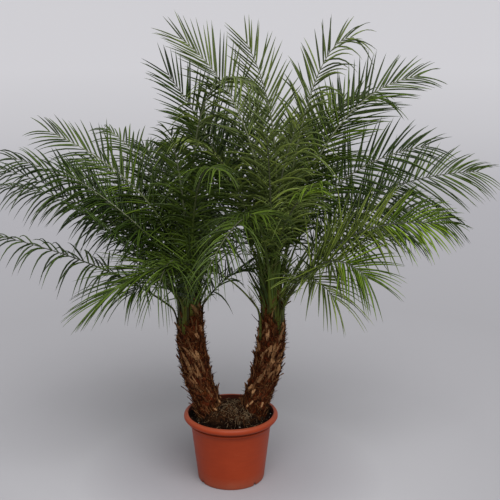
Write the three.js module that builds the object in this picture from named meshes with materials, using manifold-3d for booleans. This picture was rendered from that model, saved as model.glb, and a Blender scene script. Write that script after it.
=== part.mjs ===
// A pygmy date palm, two leaning trunks from one clump, in a round plastic nursery pot.
// Millimetres, +Z up. The origin is the centre of the pot's flat underside. The left trunk leans to -X, the
// right one to +X. Every sub-part is one closed solid, and neighbours lie 0.3 mm apart.
import * as THREE from "three";
import { mergeVertices } from "three/addons/utils/BufferGeometryUtils.js";
import Module from "manifold-3d";

const wasm = await Module();
wasm.setup();

const GAP = 0.3; // clearance between pieces that rest on each other
const UP = new THREE.Vector3(0, 0, 1);

// ---- driving dimensions: the pot ----
const POT_HEIGHT = 223;
const RIM_RADIUS = 150; // outside of the rolled rim
const RIM_TUBE = 10; // radius of the roll
const MOUTH_RADIUS = 137; // inside of the rim's top edge
const NECK_RADIUS = 128; // outside of the wall just under the rim's step
const FOOT_RADIUS = 106; // outside of the wall at the floor
const POT_WALL = 4;
const POT_FLOOR = 5;
const STEP_DROP = 34; // from the top of the pot to the step under the rim
const STEP_OUT = 3; // how far the band under the rim stands out from the wall
const POT_SIDES = 36;
const DRAIN_HOLES = 6;
const DRAIN_RADIUS = 6;
const DRAIN_CIRCLE = 88; // radius of the circle that the holes lie on

// ---- driving dimensions: the soil and the mound of roots round the trunks' feet ----
const SOIL_TOP = 200;
const SOIL_SIDES = POT_SIDES / 2; // its corners lie in corners of the pot
const MOUND_HALF_X = 116;
const MOUND_HALF_Y = 88;
const MOUND_HEIGHT = 46;
const MOUND_EDGE = 6; // height of the mound's steep lower edge
const MOUND_FALL = 78; // degrees of the dome's quarter turn that has rings; its top is a fan
const MOUND_SIDES = 18;
const MOUND_RINGS = 4;

// ---- driving dimensions: the trunks ----
const TRUNK_SIDES = 18;
const TRUNK_STEP = 13; // height of half a leaf base
const STUB_RELIEF = 5; // how far the old leaf bases stand out
const BARK_TOP = 548; // the brown trunk ends here and the green shaft of the crown begins
const SHAFT_TOP = 706;
const SHAFT_RINGS = [579, 610, 637, 665, 690];
// [height, radius] of the bare trunk, from the root flare to the tip of the green shaft
const BARK_RADII = [[200, 50], [222, 46], [260, 44], [440, 44], [520, 40], [548, 35]];
const TRUNK_RADII = [...BARK_RADII, [610, 27], [665, 17], [706, 5]];
// [height, sideways lean] of a trunk's axis; the two trunks lean to opposite sides
const LEFT_AXIS = [[200, 61], [282, 83], [323, 99], [363, 109], [444, 121], [503, 125], [706, 125]];
const RIGHT_AXIS = [[200, 63], [282, 87], [323, 101], [363, 113], [444, 126], [503, 130], [706, 131]];

// ---- driving dimensions: the fronds ----
const SEAT_TOP = 692; // the youngest frond leaves the shaft here
const SEAT_FOOT = 556; // and the oldest one here
const HEEL = 0.02; // a rib bends up from the shaft within this fraction of its length
const BLADE_FOOT = 0.1; // the shortest leaflets stand at this fraction of a frond's rib
const PETIOLE = 0.19; // and the first one of the solid at this one
const RIB_WIDTH = [9, 2.6]; // at the base and at the tip
const RIB_DEPTH = [6, 2];
const TWIST_BY = 0.5; // a frond has its full twist from this fraction of its length on
const LEAFLETS = 9; // pairs on each frond
const LEAFLET_ROOT = 11; // length of rib that a leaflet takes
const LEAFLET_LENGTH = 190; // of the longest ones
const LEAFLET_FIRST = 0.36; // length of the first leaflets of the blade, as a fraction of the longest
const LEAFLET_GROWTH = 2.4; // how fast they lengthen from there
const LEAFLET_FALL = 0.45; // how much shorter the last ones are
const LEAFLET_WIDTH = [26, 17]; // at the foot and at the tip of the blade
const LEAFLET_DEPTH = 2.4;
const LEAFLET_BEND = 0.42; // where along a leaflet it is widest and starts to droop
const LEAFLET_ANGLE = [60, 19]; // between rib and leaflet, at the foot and at the tip of the blade
const LEAFLET_CURL = 2.4; // power of the share of its length with which a leaflet droops
const LIMP_LEVEL = 0.3; // leaflets are limper where the rib is less steep than this
const STEEP = 0.7; // rise of the rib's direction
const CLEARANCE = 0.8; // a leaflet keeps about this far from everything else
// [lift, length] that a leaflet tries in turn until it is clear; lift is the V between the two rows
const FULL_TRIES = [[16, 1], [32, 1], [0, 1], [48, 1], [-16, 1]];
const LEAFLET_TRIES = [...FULL_TRIES, [16, 0.7], [36, 0.7], [-8, 0.7], [20, 0.45]];

// Each frond: [azimuth, reach, tip height, rise, bow, twist, limp, vigour]. Azimuth is the angle from +X
// towards +Y, reach is measured from the crown's axis, rise is the angle at which the rib leaves the
// crown, bow is how far it keeps to that angle, twist rolls the blade about its rib, limp is the droop of
// its leaflets and vigour their length as a fraction of the full one. Youngest and innermost first.
const LEFT_FRONDS = [
  [300, 400, 1285, 92, 1, 0, 0.7, 0.85],
  [80, 430, 1120, 82, 0.55, 0, 0.3, 1],
  [262, 230, 1150, 84, 0.55, 0, 0.5, 0.9],
  [40, 260, 1130, 84, 0.55, 0, 0.1, 1],
  [130, 440, 1080, 76, 0.55, 20, 0.3, 0.85],
  [174, 425, 1115, 82, 0.5, 50, 0.22, 0.88],
  [197, 370, 1020, 64, 0.42, 30, 0.35, 1],
  [310, 360, 930, 74, 0.6, 0, 0.3, 1],
  [118, 350, 1030, 82, 0.62, 0, 0.15, 1],
  [285, 415, 1075, 88, 0.75, 0, 0.55, 0.85],
  [150, 400, 1005, 73, 0.64, 20, 0.28, 1],
  [100, 580, 1000, 68, 0.55, 0, 0.25, 1],
  [187, 525, 1055, 66, 0.55, 50, 0.4, 0.85],
  [55, 560, 920, 62, 0.6, 0, 0.3, 1],
  [258, 330, 730, 66, 0.85, 0, 0.6, 0.9],
  [174, 565, 945, 62, 0.55, 40, 0.5, 0.78],
  [190, 565, 1030, 62, 0.55, 50, 0.5, 0.78],
  [213, 375, 935, 56, 0.5, 10, 0.45, 0.85],
  [125, 600, 820, 56, 0.6, 0, 0.4, 1],
  [238, 290, 690, 62, 0.7, 0, 0.2, 0.9],
  [88, 540, 760, 50, 0.6, 0, 0.45, 1],
  [21, 220, 690, 54, 0.61, 0, 0.45, 1],
  [132, 500, 840, 54, 0.6, 0, 0.55, 1],
  [186, 565, 815, 42, 0.4, 30, 0.75, 0.72],
];
const RIGHT_FRONDS = [
  [211, 95, 1385, 100, 0.63, -50, 0.08, 0.9],
  [353, 230, 1395, 84, 0.98, -60, 0.5, 0.95],
  [174, 275, 1390, 90, 0.69, 50, 0.08, 1],
  [49, 420, 1185, 79, 0.83, 0, 0.1, 1],
  [287, 230, 1190, 97, 0.52, 0, 0.6, 0.75],
  [100, 330, 1150, 82, 0.55, 0, 0.08, 1],
  [135, 400, 1130, 82, 0.55, 0, 0.12, 1],
  [17, 470, 1272, 80, 0.77, -50, 0.08, 1],
  [264, 240, 1150, 86, 0.55, 0, 0.5, 0.85],
  [74, 500, 1090, 66, 0.62, 0, 0.12, 1],
  [251, 550, 840, 80, 0.75, 0, 0.45, 0.85],
  [170, 320, 1285, 75, 0.62, 50, 0.14, 1],
  [33, 445, 1180, 79, 1.03, -30, 0.12, 0.8],
  [212, 320, 1120, 81, 0.85, 0, 0.5, 0.85],
  [285, 435, 1050, 100, 0.42, 0, 0.55, 0.75],
  [5, 465, 1070, 81, 0.65, -60, 0.12, 1],
  [60, 600, 960, 68, 0.6, 0, 0.18, 1],
  [11, 560, 835, 66, 0.7, -40, 0.16, 1],
  [105, 600, 900, 62, 0.6, 0, 0.25, 1],
  [303, 320, 680, 62, 0.71, 0, 0.15, 1],
  [146, 540, 850, 62, 0.6, 0, 0.3, 1],
  [20, 715, 955, 74, 0.52, -60, 0.12, 1],
  [326, 545, 910, 64, 0.59, -50, 0.18, 1],
  [85, 560, 740, 52, 0.7, 0, 0.35, 1],
  [35, 560, 720, 48, 0.7, 0, 0.35, 1],
  [310, 400, 755, 59, 0.84, -40, -0.05, 1.1],
  [208, 555, 680, 56, 0.72, 0, -0.1, 1.2],
];

// ---- colours ----
const paint = (color, roughness) => new THREE.MeshStandardMaterial({ color, roughness, metalness: 0 });
const PLASTIC = paint(0xa4482c, 0.55);
const SOIL = paint(0x2a201b, 0.95);
const ROOTS = paint(0x4a3424, 0.95);
const BARK = paint(0x5f3a22, 0.9);
const YOUNG_LEAF = paint(0x5d8a3a, 0.5);
const LEAF = paint(0x3f6b32, 0.5);
const OLD_LEAF = paint(0x33572c, 0.55);
const YOUNG_RANK = 0.3; // share of a crown's fronds that are young
const OLD_RANK = 0.68; // from this share on they are old

// ---- small helpers ----
const radians = (degrees) => (degrees * Math.PI) / 180;
const mix = (a, b, t) => a + (b - a) * t;
const clamp = (t, low, high) => Math.min(high, Math.max(low, t));

// Value at height z of a table of [z, value] rows, by straight lines between the rows.
function tableAt(rows, z) {
  if (z <= rows[0][0]) return rows[0][1];
  for (let i = 1; i < rows.length; i++) {
    const [z0, a] = rows[i - 1];
    const [z1, b] = rows[i];
    if (z <= z1) return mix(a, b, (z - z0) / (z1 - z0));
  }
  return rows[rows.length - 1][1];
}

// A closed BufferGeometry from a list of points and a list of triangles.
function closedMesh(points, triangles) {
  const numbers = points.flatMap((point) => point.toArray());
  const geometry = new THREE.BufferGeometry();
  geometry.setAttribute("position", new THREE.Float32BufferAttribute(numbers, 3));
  geometry.setIndex(triangles.flat());
  geometry.computeVertexNormals();
  return geometry;
}

// A three.js geometry as a manifold solid, with only its positions kept and its shared vertices merged.
function solidOf(geometry) {
  const bare = geometry.clone();
  bare.deleteAttribute("normal");
  bare.deleteAttribute("uv");
  const merged = mergeVertices(bare, 1e-4);
  const vertProperties = new Float32Array(merged.attributes.position.array);
  const triVerts = new Uint32Array(merged.index.array);
  return new wasm.Manifold(new wasm.Mesh({ numProp: 3, vertProperties, triVerts }));
}

// A manifold solid as a three.js geometry.
function geometryOf(solid) {
  const mesh = solid.getMesh();
  const geometry = new THREE.BufferGeometry();
  geometry.setAttribute("position", new THREE.BufferAttribute(new Float32Array(mesh.vertProperties), 3));
  geometry.setIndex(new THREE.BufferAttribute(new Uint32Array(mesh.triVerts), 1));
  geometry.computeVertexNormals();
  return geometry;
}

// A solid turned about +Z from a profile of [radius, height] points that starts and ends on the axis.
function lathe(profile, sides) {
  const points = profile.map(([radius, height]) => new THREE.Vector2(radius, height));
  return new THREE.LatheGeometry(points, sides).rotateX(Math.PI / 2);
}

// A stack of rings with the same number of points, closed by a fan to the first and to the last centre.
function stackedRings(rings, bottom, top) {
  const count = rings[0].length;
  const points = [...rings.flat(), bottom, top];
  const triangles = [];
  for (let i = 0; i < count; i++) {
    const j = (i + 1) % count;
    for (let r = 0; r + 1 < rings.length; r++) {
      const low = r * count;
      const high = low + count;
      triangles.push([low + i, low + j, high + j], [low + i, high + j, high + i]);
    }
    const last = (rings.length - 1) * count;
    triangles.push([j, i, points.length - 2], [last + i, last + j, points.length - 1]);
  }
  return closedMesh(points, triangles);
}

// ---- the pot ----
const STEP_HEIGHT = POT_HEIGHT - STEP_DROP;
const wallAt = (z) => mix(FOOT_RADIUS, NECK_RADIUS, z / STEP_HEIGHT);
const innerAt = (z) => wallAt(z) - POT_WALL;
const BAND_RADIUS = NECK_RADIUS + STEP_OUT;
const BAND_TOP = POT_HEIGHT - 2 * RIM_TUBE - 2;

// Profile from the middle of the underside, up the outside, over the rolled rim and down the inside.
function potGeometry() {
  const rollHeight = POT_HEIGHT - RIM_TUBE;
  const profile = [[0, 0], [FOOT_RADIUS - 5, 0], [wallAt(5), 5], [NECK_RADIUS, STEP_HEIGHT]];
  profile.push([BAND_RADIUS, STEP_HEIGHT + 2], [BAND_RADIUS + 1, BAND_TOP]);
  for (const turn of [-50, -15, 20, 55, 90]) {
    const across = RIM_RADIUS - RIM_TUBE + RIM_TUBE * Math.cos(radians(turn));
    profile.push([across, rollHeight + RIM_TUBE * Math.sin(radians(turn))]);
  }
  profile.push([MOUTH_RADIUS, POT_HEIGHT - 2], [MOUTH_RADIUS - 2, rollHeight]);
  profile.push([BAND_RADIUS - POT_WALL, BAND_TOP], [innerAt(STEP_HEIGHT), STEP_HEIGHT]);
  profile.push([innerAt(POT_FLOOR), POT_FLOOR], [0, POT_FLOOR]);
  let pot = solidOf(lathe(profile, POT_SIDES));
  for (let i = 0; i < DRAIN_HOLES; i++) {
    const turn = ((i + 0.25) / DRAIN_HOLES) * 2 * Math.PI;
    const hole = new THREE.CylinderGeometry(DRAIN_RADIUS, DRAIN_RADIUS, 4 * POT_FLOOR, 8);
    hole.rotateX(Math.PI / 2);
    hole.translate(DRAIN_CIRCLE * Math.cos(turn), DRAIN_CIRCLE * Math.sin(turn), 0);
    pot = pot.subtract(solidOf(hole));
  }
  return geometryOf(pot);
}

// ---- the soil: fills the pot up to just under the rim ----
function soilGeometry() {
  const floor = POT_FLOOR + GAP;
  const profile = [[0, floor], [innerAt(floor) - GAP, floor], [innerAt(STEP_HEIGHT) - GAP, STEP_HEIGHT]];
  profile.push([innerAt(STEP_HEIGHT), SOIL_TOP], [0, SOIL_TOP]);
  return lathe(profile, SOIL_SIDES);
}

// ---- the trunks ----
const leanOf = (side, z) => (side < 0 ? -tableAt(LEFT_AXIS, z) : tableAt(RIGHT_AXIS, z));

// Horizontal rings up a leaning axis. Every other point of the brown part stands out, each ring half a turn
// on from the one below, which makes the diamonds of the old leaf bases. Grown by a margin, the same solid
// cuts the mound.
function trunkGeometry(side, margin = 0) {
  const foot = SOIL_TOP + GAP;
  const barkRings = Math.round((BARK_TOP - foot) / TRUNK_STEP);
  const heights = Array.from({ length: barkRings + 1 }, (_, i) => mix(foot, BARK_TOP, i / barkRings));
  const rings = [...heights, ...SHAFT_RINGS].map((z, row) =>
    Array.from({ length: TRUNK_SIDES }, (_, i) => {
      const stub = (row + i) % 2 && row < barkRings ? STUB_RELIEF : 0;
      const turn = (i / TRUNK_SIDES) * 2 * Math.PI;
      const radius = tableAt(TRUNK_RADII, z) + stub + margin;
      const x = leanOf(side, z) + radius * Math.cos(turn);
      return new THREE.Vector3(x, radius * Math.sin(turn), row ? z : z - margin);
    }),
  );
  const bottom = new THREE.Vector3(leanOf(side, foot), 0, foot - margin);
  return stackedRings(rings, bottom, new THREE.Vector3(leanOf(side, SHAFT_TOP), 0, SHAFT_TOP));
}

// ---- the mound: matted roots round both trunks, cut clear of them, without the scraps of the cut ----
function moundGeometry() {
  const foot = SOIL_TOP + GAP;
  const rings = [];
  for (let r = 0; r <= MOUND_RINGS; r++) {
    const fall = radians((r / MOUND_RINGS) * MOUND_FALL);
    const ring = [];
    for (let i = 0; i < MOUND_SIDES; i++) {
      const turn = (i / MOUND_SIDES) * 2 * Math.PI;
      const lump = 1 + 0.05 * Math.sin(3 * turn + 1) + 0.04 * Math.sin(5 * turn);
      const x = MOUND_HALF_X * lump * Math.cos(fall) * Math.cos(turn);
      const y = MOUND_HALF_Y * lump * Math.cos(fall) * Math.sin(turn);
      ring.push(new THREE.Vector3(x, y, foot + (r ? MOUND_EDGE + MOUND_HEIGHT * Math.sin(fall) : 0)));
    }
    rings.push(ring);
  }
  const top = new THREE.Vector3(0, 0, foot + MOUND_EDGE + MOUND_HEIGHT);
  let mound = solidOf(stackedRings(rings, new THREE.Vector3(0, 0, foot), top));
  for (const side of [-1, 1]) mound = mound.subtract(solidOf(trunkGeometry(side, GAP)));
  const [whole] = mound.decompose().sort((a, b) => b.volume() - a.volume());
  return geometryOf(whole);
}

// ---- the fronds ----
// The rib is a quadratic curve: it leaves its seat on the green shaft at its rise and ends at its tip.
function ribOf(side, row, rank) {
  const [azimuth, reach, tipHeight, rise, bow, twist, limp, vigour] = row;
  const out = new THREE.Vector3(Math.cos(radians(azimuth)), Math.sin(radians(azimuth)), 0);
  const z = mix(SEAT_TOP, SEAT_FOOT, rank);
  const shaft = tableAt(TRUNK_RADII, z - RIB_DEPTH[0] / 2) + GAP;
  const heel = new THREE.Vector3(leanOf(side, z), 0, z).addScaledVector(out, shaft);
  const seat = heel.clone().addScaledVector(out, (RIB_DEPTH[0] / 2 + GAP) * Math.sin(radians(rise)));
  const tip = new THREE.Vector3(leanOf(side, z), 0, tipHeight).addScaledVector(out, reach);
  const pull = bow * seat.distanceTo(tip);
  const middle = seat.clone().addScaledVector(out, pull * Math.cos(radians(rise)));
  middle.addScaledVector(UP, pull * Math.sin(radians(rise)));
  const curve = new THREE.QuadraticBezierCurve3(seat, middle, tip);
  const level = new THREE.Vector3(out.y, -out.x, 0);
  return { curve, heel, level, length: curve.getLength(), twist: radians(twist), limp, vigour, rank };
}

// Place on the rib at fraction t of its length, with the directions along it, across the blade and out of
// the blade's upper face.
function ribFrame(rib, t) {
  const along = rib.curve.getTangentAt(t);
  const upper = new THREE.Vector3().crossVectors(rib.level, along);
  const roll = rib.twist * clamp(t / TWIST_BY, 0, 1);
  const across = rib.level.clone().multiplyScalar(Math.cos(roll)).addScaledVector(upper, Math.sin(roll));
  const face = upper.clone().multiplyScalar(Math.cos(roll)).addScaledVector(rib.level, -Math.sin(roll));
  return { place: rib.curve.getPointAt(t), along, across, face };
}

// Three corners of a rib round a place: the ridge on its upper face, then the two lower corners.
function ribCorners(place, across, face, t) {
  const half = mix(...RIB_WIDTH, t) / 2;
  const depth = mix(...RIB_DEPTH, t) / 2;
  const offsets = [[0, depth], [half, -depth], [-half, -depth]];
  return offsets.map(([x, y]) => place.clone().addScaledVector(across, x).addScaledVector(face, y));
}

// The rib's corners at fraction t, and those of the upright end with which it stands against the shaft.
function ribRing(rib, t) {
  const { place, across, face } = ribFrame(rib, t);
  return ribCorners(place, across, face, t);
}
const heelRing = (rib) => ribCorners(rib.heel, rib.level, UP, 0);

// Fraction of the rib at the middle of a leaflet's root.
const leafletPlace = (index) => mix(PETIOLE, 1, (index + 0.5) / LEAFLETS);

// A leaflet's rear edge, keel, front edge and tip, on one side (hand) of the rib.
function leafletPoints(rib, index, hand, [lift, stretch], margin = 0) {
  const t = leafletPlace(index);
  const u = (t - BLADE_FOOT) / (1 - BLADE_FOOT);
  const { place, along, across, face } = ribFrame(rib, t);
  const share = Math.min(1, LEAFLET_FIRST + LEAFLET_GROWTH * u) * (1 - LEAFLET_FALL * u ** 4);
  const limp = rib.limp + LIMP_LEVEL * clamp(STEEP - along.z, 0, 1.2);
  const full = (rib.vigour * LEAFLET_LENGTH) / Math.sqrt(1 + limp ** 2 / 2);
  const length = stretch * full * share + margin;
  const angle = radians(mix(...LEAFLET_ANGLE, u ** 2));
  const side = across.clone().multiplyScalar(hand * Math.cos(radians(lift)));
  side.addScaledVector(face, Math.sin(radians(lift)));
  const line = along.clone().multiplyScalar(Math.cos(angle)).addScaledVector(side, Math.sin(angle));
  const sag = limp * length * Math.hypot(line.x, line.y);
  const droop = (q) => -sag * q ** LEAFLET_CURL;
  const at = (q) => place.clone().addScaledVector(line, length * q).addScaledVector(UP, droop(q));
  const middle = at(LEAFLET_BEND);
  const ahead = along.clone().addScaledVector(line, -along.dot(line)).normalize();
  const below = new THREE.Vector3().crossVectors(line, ahead).multiplyScalar(-hand);
  const half = mix(...LEAFLET_WIDTH, u) / 2 + margin;
  return {
    rear: middle.clone().addScaledVector(ahead, -half).addScaledVector(below, -margin),
    keel: middle.clone().addScaledVector(below, LEAFLET_DEPTH + margin),
    front: middle.clone().addScaledVector(ahead, half).addScaledVector(below, -margin),
    tip: at(1),
  };
}

// Triangles of a leaflet: root corners q (upper rear, lower rear, lower front, upper front), then rear edge,
// keel, front edge and tip, all as indices. On the other hand they turn the other way.
function leafletTriangles(q, rear, keel, front, tip, hand) {
  const triangles = [
    [q[0], q[1], rear],
    [q[1], keel, rear],
    [q[1], q[2], keel],
    [q[2], front, keel],
    [q[2], q[3], front],
    [q[3], q[0], rear],
    [q[3], rear, front],
    [rear, keel, tip],
    [keel, front, tip],
    [front, rear, tip],
  ];
  return hand > 0 ? triangles : triangles.map(([a, b, c]) => [c, b, a]);
}

// A rib with its leaflets as one closed mesh. Each leaflet grows out of the piece of the rib's side that it
// takes, and a missing leaflet leaves that side flat.
function frondGeometry(rib, leaflets) {
  const root = LEAFLET_ROOT / 2 / rib.length;
  const stations = [HEEL, PETIOLE / 2];
  for (let k = 0; k < LEAFLETS; k++) stations.push(leafletPlace(k) - root, leafletPlace(k) + root);
  const points = [...heelRing(rib), ...stations.flatMap((t) => ribRing(rib, t)), rib.curve.getPointAt(1)];
  const triangles = [[0, 2, 1]];
  const end = points.length - 1;
  const sides = [[0, 1, 1], [1, 2, 0], [2, 0, -1]]; // from corner, to corner, hand of the leaflets there
  for (let ring = 0; ring <= stations.length; ring++) {
    const low = ring * 3;
    const high = low + 3;
    for (const [i, j, hand] of sides) {
      const index = (ring - 3) / 2;
      const leaflet = leaflets.find((one) => one.index === index && one.hand === hand);
      if (ring === stations.length) {
        triangles.push([low + i, low + j, end]);
      } else if (leaflet && hand) {
        const lower = hand > 0 ? 1 : 2;
        const corners = [low, low + lower, high + lower, high];
        const first = points.length;
        points.push(leaflet.rear, leaflet.keel, leaflet.front, leaflet.tip);
        triangles.push(...leafletTriangles(corners, first, first + 1, first + 2, first + 3, hand));
      } else {
        triangles.push([low + i, low + j, high + j], [low + i, high + j, high + i]);
      }
    }
  }
  return closedMesh(points, triangles);
}

// A leaflet alone, grown by the clearance, to test what it would touch.
function leafletProbe(rib, index, hand, attempt) {
  const grown = leafletPoints(rib, index, hand, attempt, CLEARANCE);
  const root = LEAFLET_ROOT / 2 / rib.length;
  const [upperRear, ...lowerRear] = ribRing(rib, leafletPlace(index) - root);
  const [upperFront, ...lowerFront] = ribRing(rib, leafletPlace(index) + root);
  const lower = hand > 0 ? 0 : 1;
  const corners = [upperRear, lowerRear[lower], lowerFront[lower], upperFront];
  const triangles = leafletTriangles([0, 1, 2, 3], 4, 5, 6, 7, hand);
  triangles.push(...(hand > 0 ? [[2, 1, 0], [3, 2, 0]] : [[0, 1, 2], [0, 2, 3]]));
  return probeOf(closedMesh([...corners, grown.rear, grown.keel, grown.front, grown.tip], triangles));
}

// A solid with its box, for quick tests.
function probeOf(geometry, owner = -1) {
  geometry.computeBoundingBox();
  return { solid: solidOf(geometry), box: geometry.boundingBox, owner };
}

// Whether two probes share any space.
function touches(a, b) {
  return a.box.intersectsBox(b.box) && a.solid.intersect(b.solid).volume() > 0;
}

// All fronds: bare ribs first, then leaflet by leaflet from the tips inwards, so that the outline comes
// first. A leaflet that stays in the way of something after its last try is left out.
function frondGeometries(ribs, limbs) {
  const taken = limbs.map((limb) => probeOf(limb));
  ribs.forEach((rib, i) => taken.push(probeOf(frondGeometry(rib, []), i)));
  const leaflets = ribs.map(() => []);
  for (let index = LEAFLETS - 1; index >= 0; index--) {
    ribs.forEach((rib, owner) => {
      for (const hand of [1, -1]) {
        for (const attempt of LEAFLET_TRIES) {
          const probe = leafletProbe(rib, index, hand, attempt);
          const others = taken.filter((other) => other.owner !== owner || other.leaflet);
          if (others.some((other) => touches(probe, other))) continue;
          taken.push({ ...probe, owner, leaflet: true });
          leaflets[owner].push({ index, hand, ...leafletPoints(rib, index, hand, attempt) });
          break;
        }
      }
    });
  }
  return ribs.map((rib, i) => frondGeometry(rib, leaflets[i]));
}

// ---- assembly ----
const palm = new THREE.Group();
palm.name = "pygmy_date_palm";

function add(parent, name, geometry, material) {
  const mesh = new THREE.Mesh(geometry, material);
  mesh.name = name;
  parent.add(mesh);
}

const planter = new THREE.Group();
add(planter, "pot", potGeometry(), PLASTIC);
add(planter, "soil", soilGeometry(), SOIL);
palm.add(planter);

const trunks = new THREE.Group();
const limbs = [-1, 1].map((side) => trunkGeometry(side));
add(trunks, "root_mound", moundGeometry(), ROOTS);
add(trunks, "trunk_left", limbs[0], BARK);
add(trunks, "trunk_right", limbs[1], BARK);
palm.add(trunks);

const ribs = [];
const names = [];
for (const [side, word, rows] of [[-1, "left", LEFT_FRONDS], [1, "right", RIGHT_FRONDS]]) {
  rows.forEach((row, i) => {
    ribs.push(ribOf(side, row, i / (rows.length - 1)));
    names.push(`frond_${word}_${String(i + 1).padStart(2, "0")}`);
  });
}
const fronds = new THREE.Group();
frondGeometries(ribs, limbs).forEach((geometry, i) => {
  const leaf = ribs[i].rank < YOUNG_RANK ? YOUNG_LEAF : ribs[i].rank < OLD_RANK ? LEAF : OLD_LEAF;
  add(fronds, names[i], geometry, leaf);
});
palm.add(fronds);

export default palm;
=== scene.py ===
import bpy
import numpy as np
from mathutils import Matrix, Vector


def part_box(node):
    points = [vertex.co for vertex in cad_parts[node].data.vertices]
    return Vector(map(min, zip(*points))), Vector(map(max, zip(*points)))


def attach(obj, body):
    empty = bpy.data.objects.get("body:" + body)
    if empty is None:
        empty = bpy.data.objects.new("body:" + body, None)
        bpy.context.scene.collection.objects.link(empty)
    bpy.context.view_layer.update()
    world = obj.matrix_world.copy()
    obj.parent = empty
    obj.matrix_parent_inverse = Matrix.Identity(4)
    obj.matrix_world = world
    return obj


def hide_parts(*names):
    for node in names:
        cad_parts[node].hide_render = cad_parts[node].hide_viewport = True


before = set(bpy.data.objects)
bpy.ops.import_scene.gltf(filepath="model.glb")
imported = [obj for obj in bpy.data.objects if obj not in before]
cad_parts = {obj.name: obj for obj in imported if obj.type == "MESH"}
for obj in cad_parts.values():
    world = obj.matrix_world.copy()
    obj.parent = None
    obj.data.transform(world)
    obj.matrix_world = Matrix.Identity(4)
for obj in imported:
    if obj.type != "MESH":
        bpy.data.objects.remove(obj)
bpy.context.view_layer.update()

# %% [markdown]
# ## Camera, floor and light
# A tall plant looks natural from a little above its crown, a few steps away, through a longish lens that
# keeps the fronds in front from swelling. The light is what a studio gives a plant for sale: one big soft
# lamp above and in front, a little to the right, and a pale room that fills the shadows.
# %% The camera
CAMERA_PLACE = (0.061, -3.0, 1.55)
CAMERA_TILT = 75.17  # degrees up from looking straight down
CAMERA_LENS = 73  # millimetres, on a 36 mm sensor

camera_data = bpy.data.cameras.new("camera")
camera_data.lens = CAMERA_LENS
camera = bpy.data.objects.new("camera", camera_data)
camera.location = CAMERA_PLACE
camera.rotation_euler = (np.radians(CAMERA_TILT), 0, 0)
bpy.context.scene.collection.objects.link(camera)
bpy.context.scene.camera = camera
print("camera at", CAMERA_PLACE)

# %% The lamp and the room
KEY_SIZE = 50  # degrees across, as seen from the plant
KEY_STRENGTH = 2.5
KEY_TURN = (34, 0, 16)  # degrees: tipped towards the camera, then a little to the right
ROOM_LIGHT = (0.41, 0.41, 0.415, 1)

key_data = bpy.data.lights.new("key_lamp", "SUN")
key_data.energy, key_data.angle = KEY_STRENGTH, np.radians(KEY_SIZE)
key_lamp = bpy.data.objects.new("key_lamp", key_data)
key_lamp.rotation_euler = np.radians(KEY_TURN)
bpy.context.scene.collection.objects.link(key_lamp)

world = bpy.data.worlds.new("room")
world.use_nodes = True
world.node_tree.nodes["Background"].inputs["Color"].default_value = ROOM_LIGHT
bpy.context.scene.world = world
bpy.context.scene.view_settings.view_transform = "Standard"
print("key lamp of", KEY_STRENGTH)

# %% [markdown]
# ## A short hand for materials
# Node trees are quick to read when they are written as sums. A Wire is a socket that can be added to,
# multiplied and so on, and every operator adds one Math node. A Finish is a material in the making: it has
# one method that adds any node, and a few that name the nodes used again and again. Where a node asks for
# a colour, its screen code will do.
# %% Colours
def tint(code):
    """A screen colour such as "a4482c" as the linear red, green, blue and alpha that shaders use: each
    channel c becomes c / 12.92 where it is tiny, and ((c + 0.055) / 1.055) ** 2.4 elsewhere."""
    c = np.array([int(code[i : i + 2], 16) for i in (0, 2, 4)]) / 255
    linear = np.where(c <= 0.04045, c / 12.92, ((c + 0.055) / 1.055) ** 2.4)
    return (*linear.tolist(), 1.0)


print("half bright on the screen is", np.round(tint("808080")[0], 3), "in light")


# %% Wires
def operator_pair(operation):
    """The method of an operator, and its reflected form, so that 1 - wire works too."""

    def straight(wire, other):
        return wire.finish.node("ShaderNodeMath", {"operation": operation}, {0: wire, 1: other})

    def reflected(wire, other):
        return wire.finish.node("ShaderNodeMath", {"operation": operation}, {0: other, 1: wire})

    return straight, reflected


class Wire:
    """A shader socket with arithmetic."""

    __add__, __radd__ = operator_pair("ADD")
    __sub__, __rsub__ = operator_pair("SUBTRACT")
    __mul__, __rmul__ = operator_pair("MULTIPLY")
    __truediv__, __rtruediv__ = operator_pair("DIVIDE")

    def __init__(self, finish, socket):
        self.finish, self.socket = finish, socket


print("operators of a wire:", [name for name in vars(Wire) if name.startswith("__r")])


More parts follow.
